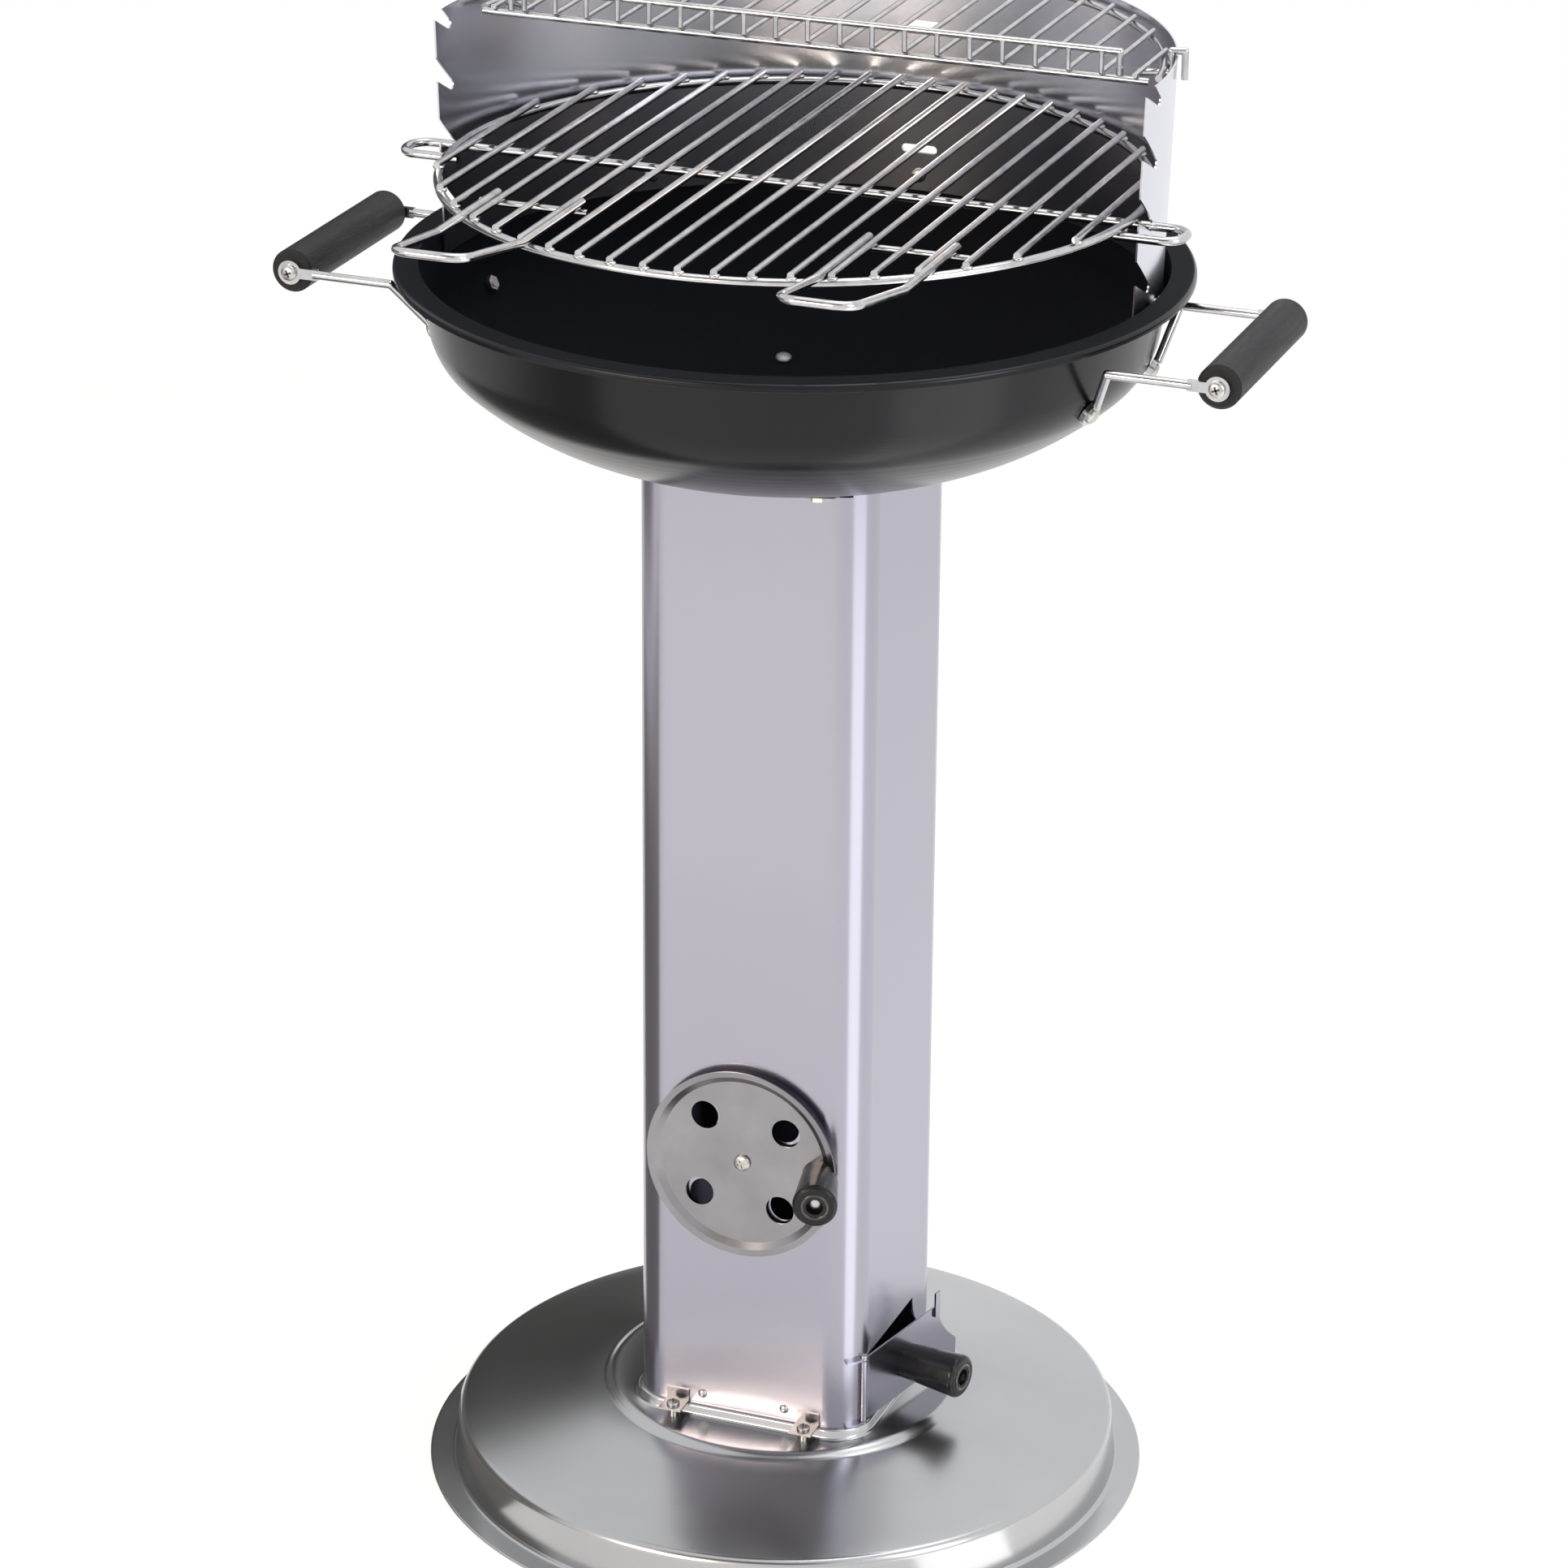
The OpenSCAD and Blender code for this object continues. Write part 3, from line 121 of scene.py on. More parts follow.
# Worn edges with a painted highlight along them: high along edges, where a rounded normal turns away from
# the true one, and broken up by noise
def makeEdgeWearAndHighlight():
    tree, given, result = newGroup(
        "edgeWear", {"Radius": 0.0003, "Strength": 3.0, "Breakup": 220.0}, ["Mask"])
    flatEnough = 0.96
    rounded = nodeIn(tree, "ShaderNodeBevel", {"Radius": given["Radius"]}, samples=3).outputs[0]
    aligned = vectorOf(tree, "DOT_PRODUCT", rounded, surfaceNormal(tree))
    turned = mathOf(tree, "SUBTRACT", flatEnough, aligned)
    strong = mathOf(tree, "MULTIPLY", turned, given["Strength"], clamped=True)
    spots = noiseOf(tree, objectSpot(tree), scale=given["Breakup"], detail=3.0)
    feed(tree, result["Mask"], mathOf(tree, "MULTIPLY", strong, spots))
    return tree


# Light dust and handling marks, mostly on what faces up
def makeHandlingDust():
    tree, given, result = newGroup("handlingDust", {"Scale": 30.0, "Amount": 0.2}, ["Mask"])
    upward = nodeIn(tree, "ShaderNodeSeparateXYZ", {0: surfaceNormal(tree)}).outputs["Z"]
    settled = remap(tree, upward, 0.25, 1.0, fromLow=-0.4, fromHigh=1.0)
    smear = noiseOf(tree, objectSpot(tree), scale=given["Scale"], detail=5.0, roughness=0.65)
    amount = mathOf(tree, "MULTIPLY", settled, given["Amount"])
    feed(tree, result["Mask"], mathOf(tree, "MULTIPLY", smear, amount))
    return tree


# Soft waviness and fine pits of enamel or lacquer that was sprayed on
def makeSprayRipple():
    tree, given, result = newGroup("sprayRipple", {"Scale": 260.0, "Pits": 0.15}, ["Height"])
    spot = objectSpot(tree)
    wave = noiseOf(tree, spot, scale=given["Scale"], detail=2.0, roughness=0.4)
    fine = noiseOf(tree, spot, scale=1900.0, detail=2.0)
    pits = mathOf(tree, "MULTIPLY", fine, given["Pits"])
    feed(tree, result["Height"], mathOf(tree, "ADD", wave, pits))
    return tree


# Pores and streaks of wood, drawn out along the axis that is stretched least
def makeWoodPores():
    tree, given, result = newGroup("woodPores", {"Stretch": (420.0, 40.0, 420.0)}, ["Pores", "Streaks"])
    stretched = vectorOf(tree, "MULTIPLY", objectSpot(tree), given["Stretch"])
    pores = noiseOf(tree, stretched, scale=2.2, detail=4.0, roughness=0.7)
    feed(tree, result["Pores"], remap(tree, pores, 0.0, 1.0, fromLow=0.42, fromHigh=0.6))
    feed(tree, result["Streaks"], noiseOf(tree, stretched, scale=0.5, detail=2.0))
    return tree


# 1 where the surface of a round shell faces its upright axis, as inside a bowl
def makeInwardMask():
    tree, given, result = newGroup("inwardMask", {"Softness": 0.1}, ["Mask"])
    level, lowered = (1, 1, 0), (0, 0, -0.5)
    outward = vectorOf(tree, "NORMALIZE", vectorOf(tree, "MULTIPLY", objectSpot(tree), level))
    outer = vectorOf(tree, "ADD", outward, lowered)
    facing = vectorOf(tree, "DOT_PRODUCT", surfaceNormal(tree), outer)
    inside = mathOf(tree, "SUBTRACT", 0.0, given["Softness"])
    feed(tree, result["Mask"], remap(tree, facing, 0.0, 1.0, fromLow=given["Softness"], fromHigh=inside))
    return tree


effects = {
    "grain": makeRollingGrain(),
    "wearAndHighlight": makeEdgeWearAndHighlight(),
    "dust": makeHandlingDust(),
    "ripple": makeSprayRipple(),
    "pores": makeWoodPores(),
    "inward": makeInwardMask(),
}
print("effects built")


# Finishes

def startMaterial(name, fixed=None):
    made = bpy.data.materials.new(name)
    made.use_nodes = True
    shader = made.node_tree.nodes["Principled BSDF"]
    for label, value in (fixed or {}).items():
        shader.inputs[label].default_value = value
    return made, made.node_tree, shader


def effectIn(tree, effect, values=None):
    made = tree.nodes.new("ShaderNodeGroup")
    made.node_tree = effects[effect]
    for label, value in (values or {}).items():
        made.inputs[label].default_value = value
    return made.outputs


def mixColours(tree, factor, first, second):
    made = nodeIn(tree, "ShaderNodeMix", data_type="RGBA")
    feed(tree, made.inputs[0], factor)
    sockets = [socket for socket in made.inputs if socket.type == "RGBA"]
    for socket, colour in zip(sockets, (first, second)):
        feed(tree, socket, (*colour, 1) if isinstance(colour, tuple) else colour)
    return next(socket for socket in made.outputs if socket.type == "RGBA")


wearAndHighlightReach = 0.0003  # metres from an edge, except where a finish says otherwise


# Dust over the colour, and worn edges with a painted highlight through it, which gives back the dust's
# mask
def dustWearAndHighlight(tree, shader, look, colour):
    dust = effectIn(tree, "dust", {"Scale": look["dustScale"], "Amount": look["dust"]})["Mask"]
    wearAndHighlight = effectIn(tree, "wearAndHighlight", {"Radius": look.get("wearAndHighlightReach", wearAndHighlightReach)})["Mask"]
    dusty = mixColours(tree, dust, colour, look["dustColour"])
    feed(tree, shader.inputs["Base Color"], mixColours(tree, wearAndHighlight, dusty, look["edge"]))
    return dust


def bumpFrom(tree, shader, look, height):
    made = nodeIn(tree, "ShaderNodeBump", {
        "Strength": look["bump"], "Distance": look["depth"], "Height": height})
    feed(tree, shader.inputs["Normal"], made.outputs["Normal"])


# Rolled or ground sheet, and wire and fasteners
def sheetMetal(name, look):
    made, tree, shader = startMaterial(name, {"Metallic": 1.0})
    grain = effectIn(tree, "grain", {
        "Across": look["across"], "Along": look["along"], "Blotch": look["blotch"]})
    cloud = remap(tree, grain["Cloud"], 0.0, 1.0)
    dust = dustWearAndHighlight(tree, shader, look, mixColours(tree, cloud, look["dark"], look["light"]))
    rough = remap(tree, grain["Cloud"], *look["rough"])
    feed(tree, shader.inputs["Roughness"], mathOf(tree, "ADD", rough, dust))
    bumpFrom(tree, shader, look, grain["Lines"])
    return made


# Sprayed enamel or paint, with dull soot where a round shell faces inwards
def sprayedCoat(name, look):
    made, tree, shader = startMaterial(name, {
        "Coat Roughness": look["coatRough"], "Specular IOR Level": look["specular"]})
    inward = effectIn(tree, "inward")["Mask"]
    coat = remap(tree, inward, look["coat"], 0.0, fromLow=0.0, fromHigh=1.0)
    feed(tree, shader.inputs["Coat Weight"], coat)
    dust = dustWearAndHighlight(tree, shader, look, look["colour"])
    rough = remap(tree, dust, *look["rough"], fromLow=0.0, fromHigh=0.2)
    soot = mathOf(tree, "MULTIPLY", inward, look["sooty"])
    feed(tree, shader.inputs["Roughness"], mathOf(tree, "ADD", rough, soot, clamped=True))
    ripple = effectIn(tree, "ripple", {"Scale": look["scale"], "Pits": look["pits"]})
    bumpFrom(tree, shader, look, ripple["Height"])
    return made


# Black lacquered wood of the grips and knobs
def lacqueredWood(name, look):
    made, tree, shader = startMaterial(name, {
        "Coat Weight": look["coat"], "Coat Roughness": look["coatRough"],
        "Specular IOR Level": look["specular"]})
    wood = effectIn(tree, "pores", {"Stretch": look["stretch"]})
    dustWearAndHighlight(tree, shader, look, mixColours(tree, wood["Streaks"], look["dark"], look["light"]))
    feed(tree, shader.inputs["Roughness"], remap(tree, wood["Streaks"], *look["rough"]))
    bumpFrom(tree, shader, look, wood["Pores"])
    return made


# Roughness of the large sheets stays under 0.26, since the denoiser leaves marks where it crosses 0.27
metalLooks = {
    "columnSteel": {
        "nodes": ["column", "seam_strip", "flap", "hinge_ears"],
        "across": 700.0, "along": 9.0, "blotch": 4.0, "dustScale": 12.0, "dust": 0.025,
        "dark": (0.392, 0.385, 0.452), "light": (0.412, 0.405, 0.475),
        "dustColour": (0.37, 0.37, 0.41), "edge": (0.55, 0.55, 0.6),
        "rough": (0.2, 0.23), "bump": 0.008, "depth": 0.00005,
    },
    "baseSteel": {
        "nodes": ["base_plate"],
        "across": 60.0, "along": 60.0, "blotch": 7.0, "dustScale": 12.0, "dust": 0.04,
        "dark": (0.45, 0.455, 0.465), "light": (0.51, 0.515, 0.525),
        "dustColour": (0.5, 0.5, 0.5), "edge": (0.7, 0.71, 0.73),
        "rough": (0.19, 0.22), "bump": 0.012, "depth": 0.00005,
    },
    "shieldSteel": {
        "nodes": ["shield_left", "shield_right"],
        "across": 30.0, "along": 900.0, "blotch": 3.0, "dustScale": 10.0, "dust": 0.02,
        "dark": (0.66, 0.665, 0.72), "light": (0.76, 0.765, 0.83),
        "dustColour": (0.6, 0.6, 0.6), "edge": (0.8, 0.8, 0.82),
        "rough": (0.2, 0.225), "bump": 0.012, "depth": 0.00005,
    },
    "discSteel": {
        "nodes": ["air_disc", "foot_lugs", "locating_tabs"],
        "across": 500.0, "along": 30.0, "blotch": 30.0, "dustScale": 40.0, "dust": 0.04,
        "dark": (0.27, 0.266, 0.28), "light": (0.34, 0.335, 0.35),
        "dustColour": (0.2, 0.2, 0.2), "edge": (0.6, 0.6, 0.6),
        "rough": (0.19, 0.22), "bump": 0.03, "depth": 0.0001,
    },
    "platedWire": {
        "nodes": ["handle_wires", "grid_ring", "grid_bars", "grid_cross_wire", "grid_handle_left",
                  "grid_handle_right", "rack_front_wire", "rack_arc_wire", "rack_bars", "rack_fence_wire",
                  "rack_hooks"],
        "across": 80.0, "along": 80.0, "blotch": 90.0, "dustScale": 60.0, "dust": 0.08,
        "dark": (0.5, 0.5, 0.51), "light": (0.64, 0.64, 0.65),
        "dustColour": (0.42, 0.41, 0.4), "edge": (0.8, 0.8, 0.8),
        "rough": (0.12, 0.2), "bump": 0.06, "depth": 0.0002,
    },
    "boltSteel": {
        "nodes": ["seam_rivets", "foot_screws", "foot_nuts", "flap_pin", "disc_screw", "disc_washer",
                  "disc_nut", "bowl_nuts", "shield_bolts", "shield_spacers", "shield_nuts", "grip_screws",
                  "handle_bolts", "handle_nuts", "disc_knob_screw", "flap_knob_screw"],
        "across": 160.0, "along": 160.0, "blotch": 150.0, "dustScale": 120.0, "dust": 0.15,
        "dark": (0.45, 0.44, 0.43), "light": (0.62, 0.61, 0.59),
        "dustColour": (0.4, 0.38, 0.35), "edge": (0.85, 0.84, 0.82),
        "rough": (0.22, 0.34), "bump": 0.2, "depth": 0.0002,
    },
    "grateSteel": {
        "nodes": ["fire_grate_ring", "fire_grate_bars", "bowl_bolts"],
        "across": 140.0, "along": 140.0, "blotch": 70.0, "dustScale": 50.0, "dust": 0.3,
        "dark": (0.3, 0.3, 0.3), "light": (0.45, 0.45, 0.45),
        "dustColour": (0.3, 0.29, 0.28), "edge": (0.6, 0.6, 0.6),
        "rough": (0.3, 0.45), "bump": 0.15, "depth": 0.0003,
    },
    # Painted shade: near-black steel standing in for the shade inside the screws' cross recesses
    "crossRecessShade": {
        "nodes": [],
        "across": 300.0, "along": 300.0, "blotch": 200.0, "dustScale": 200.0, "dust": 0.1,
        "dark": (0.05, 0.05, 0.05), "light": (0.1, 0.1, 0.1),
        "dustColour": (0.08, 0.08, 0.08), "edge": (0.3, 0.3, 0.3),
        "rough": (0.35, 0.5), "bump": 0.1, "depth": 0.0001,
    },
}
coatLooks = {
    "bowlEnamel": {
        "nodes": ["bowl"],
        # The edge colour, far lighter than the enamel, is a painted highlight along the rim's rolled lip
        # as well as worn edges
        "colour": (0.003, 0.004, 0.0075), "dustColour": (0.015, 0.015, 0.017), "edge": (0.22, 0.22, 0.24),
        "coat": 0.45, "coatRough": 0.2, "specular": 0.1, "sooty": 0.35, "scale": 240.0, "pits": 0.1,
        "dustScale": 26.0, "dust": 0.1, "rough": (0.3, 0.42), "bump": 0.03, "depth": 0.0002,
    },
    "bracketPaint": {
        "nodes": ["bowl_brackets"],
        "colour": (0.05, 0.05, 0.055), "dustColour": (0.09, 0.09, 0.09), "edge": (0.2, 0.2, 0.2),
        "coat": 0.1, "coatRough": 0.3, "specular": 0.5, "sooty": 0.0, "scale": 300.0, "pits": 0.4,
        "dustScale": 40.0, "dust": 0.2, "rough": (0.35, 0.5), "bump": 0.2, "depth": 0.0003,
    },
}
woodLooks = {
    "gripWood": {
        "nodes": ["grip_left", "grip_right"],
        "dark": (0.010, 0.0105, 0.012), "light": (0.02, 0.021, 0.024),
        "dustColour": (0.05, 0.05, 0.052), "edge": (0.07, 0.07, 0.07),
        "coat": 0.0, "coatRough": 0.35, "specular": 0.28, "stretch": (420.0, 36.0, 420.0),
        "dustScale": 60.0, "dust": 0.15, "rough": (0.42, 0.55), "bump": 0.35, "depth": 0.0004,
    },
    "knobWood": {
        "nodes": ["disc_knob", "flap_knob"],
        "dark": (0.004, 0.004, 0.005), "light": (0.009, 0.009, 0.01),
        "dustColour": (0.03, 0.03, 0.03), "edge": (0.05, 0.05, 0.05),
        "coat": 0.35, "coatRough": 0.15, "specular": 0.2, "stretch": (160.0, 160.0, 160.0),
        "dustScale": 60.0, "dust": 0.1, "rough": (0.3, 0.42), "bump": 0.2, "depth": 0.0003,
    },
    "knobGloss": {
        "nodes": [],
        "dark": (0.01, 0.01, 0.011), "light": (0.02, 0.02, 0.021),
        "dustColour": (0.04, 0.04, 0.04), "edge": (0.08, 0.08, 0.08),
        "coat": 1.0, "coatRough": 0.06, "specular": 0.5, "stretch": (160.0, 160.0, 160.0),
        "dustScale": 60.0, "dust": 0.05, "wearAndHighlightReach": 0.0002,
        "rough": (0.15, 0.25), "bump": 0.05, "depth": 0.0001,
    },
}
finishes = {}
for maker, looks in ((sheetMetal, metalLooks), (sprayedCoat, coatLooks), (lacqueredWood, woodLooks)):
    for finish, look in looks.items():
        finishes[finish] = maker(finish, look)
        for node in look["nodes"]:
            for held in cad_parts[node].material_slots:
                held.material = finishes[finish]
print("finishes placed")


# Pieces that the imported model leaves out

# Makes a piece of a finished form, with the body and finish that its settings give
def addPiece(name, shape, setup, smooth=True):
    bmesh.ops.recalc_face_normals(shape, faces=shape.faces)
    mesh = bpy.data.meshes.new(name)
    shape.to_mesh(mesh)
    shape.free()
    piece = bpy.data.objects.new(name, mesh)
    bpy.context.collection.objects.link(piece)
    mesh.materials.append(finishes[setup["finish"]])
    for face in mesh.polygons:
        face.use_smooth = smooth
    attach(piece, setup["body"])
    return piece


# Matrix that turns Z to a direction and moves to a spot, in metres
def standAt(spot, along):
    turned = Vector(along).to_track_quat("Z", "Y").to_matrix().to_4x4()
    return Matrix.Translation(Vector(spot)) @ turned


# Quads between neighbouring loops of vertices
def skinLoops(shape, loops, closed=False):
    for first, second in zip(loops, loops[1:] + (loops[:1] if closed else [])):
        for k in range(len(first)):
            after = (k + 1) % len(first)
            shape.faces.new((first[k], second[k], second[after], first[after]))


# Triangles from a loop to one vertex in its middle
def fanLoop(shape, loop, spot):
    middle = shape.verts.new(spot)
    for k in range(len(loop)):
        shape.faces.new((middle, loop[k], loop[(k + 1) % len(loop)]))


# Turned bead round the hole in a knob's end
knobBeads = {
    "disc_bead": {"body": "air_disc", "finish": "knobGloss", "slot": "black_wood",
                  "centre": (0.059, -0.111, 0.22397), "along": (0.2756, -0.9613, -0.0048)},
    "flap_bead": {"body": "flap", "finish": "knobGloss", "slot": "black_wood",
                  "centre": (0.11905, -0.01635, 0.078), "along": (0.9781, -0.2079, 0.0)},
}
beadForm = {"radius": 0.0074, "thickness": 0.0009, "squash": 0.7, "around": 48, "across": 12}


def makeKnobBead(name, setup, form):
    shape = bmesh.new()
    matrix = standAt(setup["centre"], setup["along"])
    rows = []
    for k in range(form["around"]):
        turn = 2 * math.pi * k / form["around"]
        row = []
        for j in range(form["across"]):
            tilt = 2 * math.pi * j / form["across"]
            reach = form["radius"] + form["thickness"] * math.cos(tilt)
            height = form["thickness"] * form["squash"] * math.sin(tilt)
            spot = Vector((reach * math.cos(turn), reach * math.sin(turn), height))
            row.append(shape.verts.new(matrix @ spot))
        rows.append(row)
    skinLoops(shape, rows, closed=True)
    addPiece(name, shape, setup)


for beadName, beadSetup in knobBeads.items():
    makeKnobBead(beadName, beadSetup, beadForm)


# Base pressing: a square plinth on a round cone, with a stepped ring, a wall and a flange on the floor
basePress = {
    "body": "root", "finish": "baseSteel", "slot": "stainless_steel",
    "segments": 288, "sheet": 0.0015, "plinthHalf": 0.074, "plinthCorner": 0.024, "leastCorner": 0.004,
    "plinthTop": 0.0585, "plateau": 0.052,
    # how far each ring is outside the plinth's side, then its drop from the top or rise off the plateau
    "plinthFlat": ((-0.03, 0.0), (-0.0022, 0.0)),
    "plinthEdge": ((-0.0012, 0.0001), (-0.0004, 0.0005), (0.0, 0.0014)),
    "plinthFoot": ((0.0003, 0.0016), (0.0009, 0.0005), (0.002, 0.0)),
    "ringLead": 0.0006, "ringInner": 0.102, "ringOuter": 0.112, "ringDrop": 0.0035, "ringSteps": 10,
    "coneSteps": 6, "shoulder": 0.1985, "shoulderTop": 0.033, "shoulderRound": 0.006, "shoulderSteps": 8,
    "wallFoot": 0.2, "footRound": 0.003, "footSteps": 6, "flange": 0.216,
    # how far each ring is inside the flange's edge, with its drop
    "flangeEdge": ((0.0015, 0.0), (0.0005, 0.0001), (0.0, 0.0006)),
}


# Distance from the centre to a rounded square, along a heading
def squareReach(half, corner, angle):
    along, across = abs(math.cos(angle)), abs(math.sin(angle))
    if along < across:
        along, across = across, along
    if half * across / along <= half - corner:
        return half / along
    middle = (half - corner) * (along + across)
    return middle + math.sqrt(middle ** 2 - 2 * (half - corner) ** 2 + corner ** 2)


# Rings of the upper side from the middle outwards: growth of the square or None, radius or None, height
def upperRings(setup):
    top, flat, sheet = setup["plinthTop"], setup["plateau"], setup["sheet"]
    rings = [(growth, None, top - drop) for growth, drop in setup["plinthFlat"] + setup["plinthEdge"]]
    rings += [(growth, None, flat + rise) for growth, rise in setup["plinthFoot"]]
    ringInner, ringOuter = setup["ringInner"], setup["ringOuter"]
    rings += [(None, ringInner - setup["ringLead"], flat), (None, ringInner, flat)]
    for step in range(1, setup["ringSteps"]):
        share = step / setup["ringSteps"]
        sunk = share - math.sin(2 * math.pi * share) / (2 * math.pi)
        rings.append((None, ringInner + share * (ringOuter - ringInner), flat - setup["ringDrop"] * sunk))
    low = flat - setup["ringDrop"]
    rings.append((None, ringOuter, low))
    slope = math.atan((low - setup["shoulderTop"]) / (setup["shoulder"] - ringOuter))
    bend = setup["shoulderRound"]
    centreR, centreZ = setup["shoulder"] - bend, setup["shoulderTop"] - bend
    shoulder = []
    for step in range(setup["shoulderSteps"] + 1):
        turn = (math.pi / 2 - slope) * (1 - step / setup["shoulderSteps"])
        shoulder.append((None, centreR + bend * math.cos(turn), centreZ + bend * math.sin(turn)))
    startR, startZ = shoulder[0][1:]
    for step in range(1, setup["coneSteps"]):
        share = step / setup["coneSteps"]
        rings.append((None, ringOuter + share * (startR - ringOuter), low + share * (startZ - low)))
    rings += shoulder
    foot, bend = setup["wallFoot"], setup["footRound"]
    for step in range(setup["footSteps"] + 1):
        turn = math.pi + math.pi / 2 * step / setup["footSteps"]
        rings.append((None, foot + bend + bend * math.cos(turn), sheet + bend + bend * math.sin(turn)))
    rings += [(None, setup["flange"] - inside, sheet - drop) for inside, drop in setup["flangeEdge"]]
    return rings


# Rings of the underside, one sheet's thickness off the upper side, from the flange inwards
def lowerRings(upper, setup):
    sheet, last = setup["sheet"], len(upper) - 1
    lower = []
    for k in range(last, -1, -1):
        growth, radius, height = upper[k]
        if growth is None:
            before, after = upper[k - 1], upper[min(k + 1, last)]
            run, rise = (1.0, 0.0) if before[1] is None else (after[1] - before[1], after[2] - before[2])
            size = math.hypot(run, rise)
            radius = min(radius + sheet * rise / size, setup["flange"])
            lower.append((None, radius, max(height - sheet * run / size, 0.0)))
        elif k < len(setup["plinthFlat"]):
            lower.append((growth, None, height - sheet))
        else:
            lower.append((growth - sheet, None, max(height - sheet, setup["plateau"] - sheet)))
    return lower


def makeBasePress(setup):
    upper = upperRings(setup)
    rings = upper + lowerRings(upper, setup)
    shape = bmesh.new()
    loops = []
    for growth, radius, height in rings:
        loop = []
        for k in range(setup["segments"]):
            angle = 2 * math.pi * k / setup["segments"]
            reach = radius
            if growth is not None:
                corner = max(setup["plinthCorner"] + min(growth, 0.0), setup["leastCorner"])
                reach = squareReach(setup["plinthHalf"] + growth, corner, angle)
            loop.append(shape.verts.new((reach * math.cos(angle), reach * math.sin(angle), height)))
        loops.append(loop)
    skinLoops(shape, loops)
    for end in (0, -1):
        fanLoop(shape, loops[end], (0, 0, rings[end][2]))
    piece = addPiece("base_pressing", shape, setup)
    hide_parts("base_plate")


makeBasePress(basePress)


# Rivets in the column's foot, in place of the plain tabs
footRivets = {
    "body": "root", "finish": "boltSteel", "slot": "fastener_steel",
    "x": (-0.026, 0.026), "face": 0.071, "height": 0.0655, "headRadius": 0.0028, "headHeight": 0.0017,
    "sides": 28,
    # shares of the head's radius and height, from near the tip down into the sheet
    "profile": ((0.35, 0.95), (0.65, 0.78), (0.87, 0.48), (0.98, 0.18), (1.0, 0.0), (1.0, -0.1)),
}


def rivetInto(shape, matrix, setup):
    loops = []
    for share, rise in setup["profile"]:
        radius = setup["headRadius"] * share
        loop = []
        for k in range(setup["sides"]):
            turn = 2 * math.pi * k / setup["sides"]
            spot = Vector((radius * math.cos(turn), radius * math.sin(turn), setup["headHeight"] * rise))
            loop.append(shape.verts.new(matrix @ spot))
        loops.append(loop)
    fanLoop(shape, loops[0], matrix @ Vector((0, 0, setup["headHeight"])))
    skinLoops(shape, loops)
    shape.faces.new(loops[-1])


def makeFootRivets(setup):
    shape = bmesh.new()
    for side in (-1, 1):
        for x in setup["x"]:
            rivetInto(shape, standAt((x, side * setup["face"], setup["height"]), (0, side, 0)), setup)
    piece = addPiece("foot_rivets", shape, setup)
    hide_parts("locating_tabs")


makeFootRivets(footRivets)


# Low mounds of weld metal, a little uneven, where the grid's bars end on its ring
gridWelds = {
    "body": "cooking_grid", "finish": "platedWire", "slot": "plated_wire", "count": 20,
    "radii": (0.0034, 0.0028, 0.0013), "uneven": 0.08, "waveX": 3.1, "waveY": 2.3, "change": 1.7,
}


def weldInto(shape, spot, setup, number):
    before = len(shape.verts)
    bmesh.ops.create_icosphere(shape, subdivisions=2, radius=1.0)
    shape.verts.ensure_lookup_table()
    for vert in shape.verts[before:]:
        wave = math.sin(setup["waveX"] * vert.co.x + setup["change"] * number)
        wave *= math.cos(setup["waveY"] * vert.co.y + number)
        grown = 1.0 + setup["uneven"] * wave
        swollen = [along * radius * grown for along, radius in zip(vert.co, setup["radii"])]
        vert.co = Vector(spot) + Vector(swollen)


def makeGridWelds(setup):
    shape = bmesh.new()
    ringLow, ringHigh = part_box("grid_ring")
    barLow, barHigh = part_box("grid_bars")
    wire = (ringHigh[2] - ringLow[2]) / 2
    radius = (ringHigh[0] - ringLow[0]) / 2 - wire
    pitch = (barHigh[0] - barLow[0] - (barHigh[2] - barLow[2])) / (setup["count"] - 1)
    for k in range(setup["count"]):
        x = (k - (setup["count"] - 1) / 2) * pitch
        for side in (-1, 1):
            weldInto(shape, (x, side * math.sqrt(radius ** 2 - x ** 2), ringHigh[2]), setup, k + side)
    addPiece("grid_welds", shape, setup)


makeGridWelds(gridWelds)


# Painted shade of the sunk crosses in the screws' heads, as two dark bars that narrow downwards
crossForm = {
    "body": "root", "finish": "crossRecessShade", "slot": "fastener_steel",
    "bottomShare": 0.55, "proud": 0.00004, "turn": 0.35,
}
gripCrosses = {**crossForm, "length": 0.0046, "width": 0.0011, "depth": 0.0012}
footCrosses = {**crossForm, "length": 0.0042, "width": 0.001, "depth": 0.001, "headRadius": 0.0039}


def makeCrosses(name, heads, setup):
    shape = bmesh.new()
    for spot, along in heads:
        matrix = standAt(spot, along)
        for quarter in (0, math.pi / 2):
            turned = Matrix.Rotation(quarter + setup["turn"], 4, "Z")
            for vert in bmesh.ops.create_cube(shape, size=1.0)["verts"]:
                narrow = setup["bottomShare"] if vert.co.z < 0 else 1.0
                corner = Vector((vert.co.x * setup["length"] * narrow, vert.co.y * setup["width"],
                                 (vert.co.z - 0.5) * setup["depth"] + setup["proud"]))
                vert.co = matrix @ (turned @ corner)
    addPiece(name, shape, setup, smooth=False)


# The grips' screws face along Y at both ends of each grip
def gripHeads():
    low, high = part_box("grip_screws")
    gripLow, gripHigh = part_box("grip_right")
    x, z = (gripLow[0] + gripHigh[0]) / 2, (gripLow[2] + gripHigh[2]) / 2
    return [((side * x, y, z), (0, math.copysign(1, y), 0))
            for side in (-1, 1) for y in (low[1], high[1])]


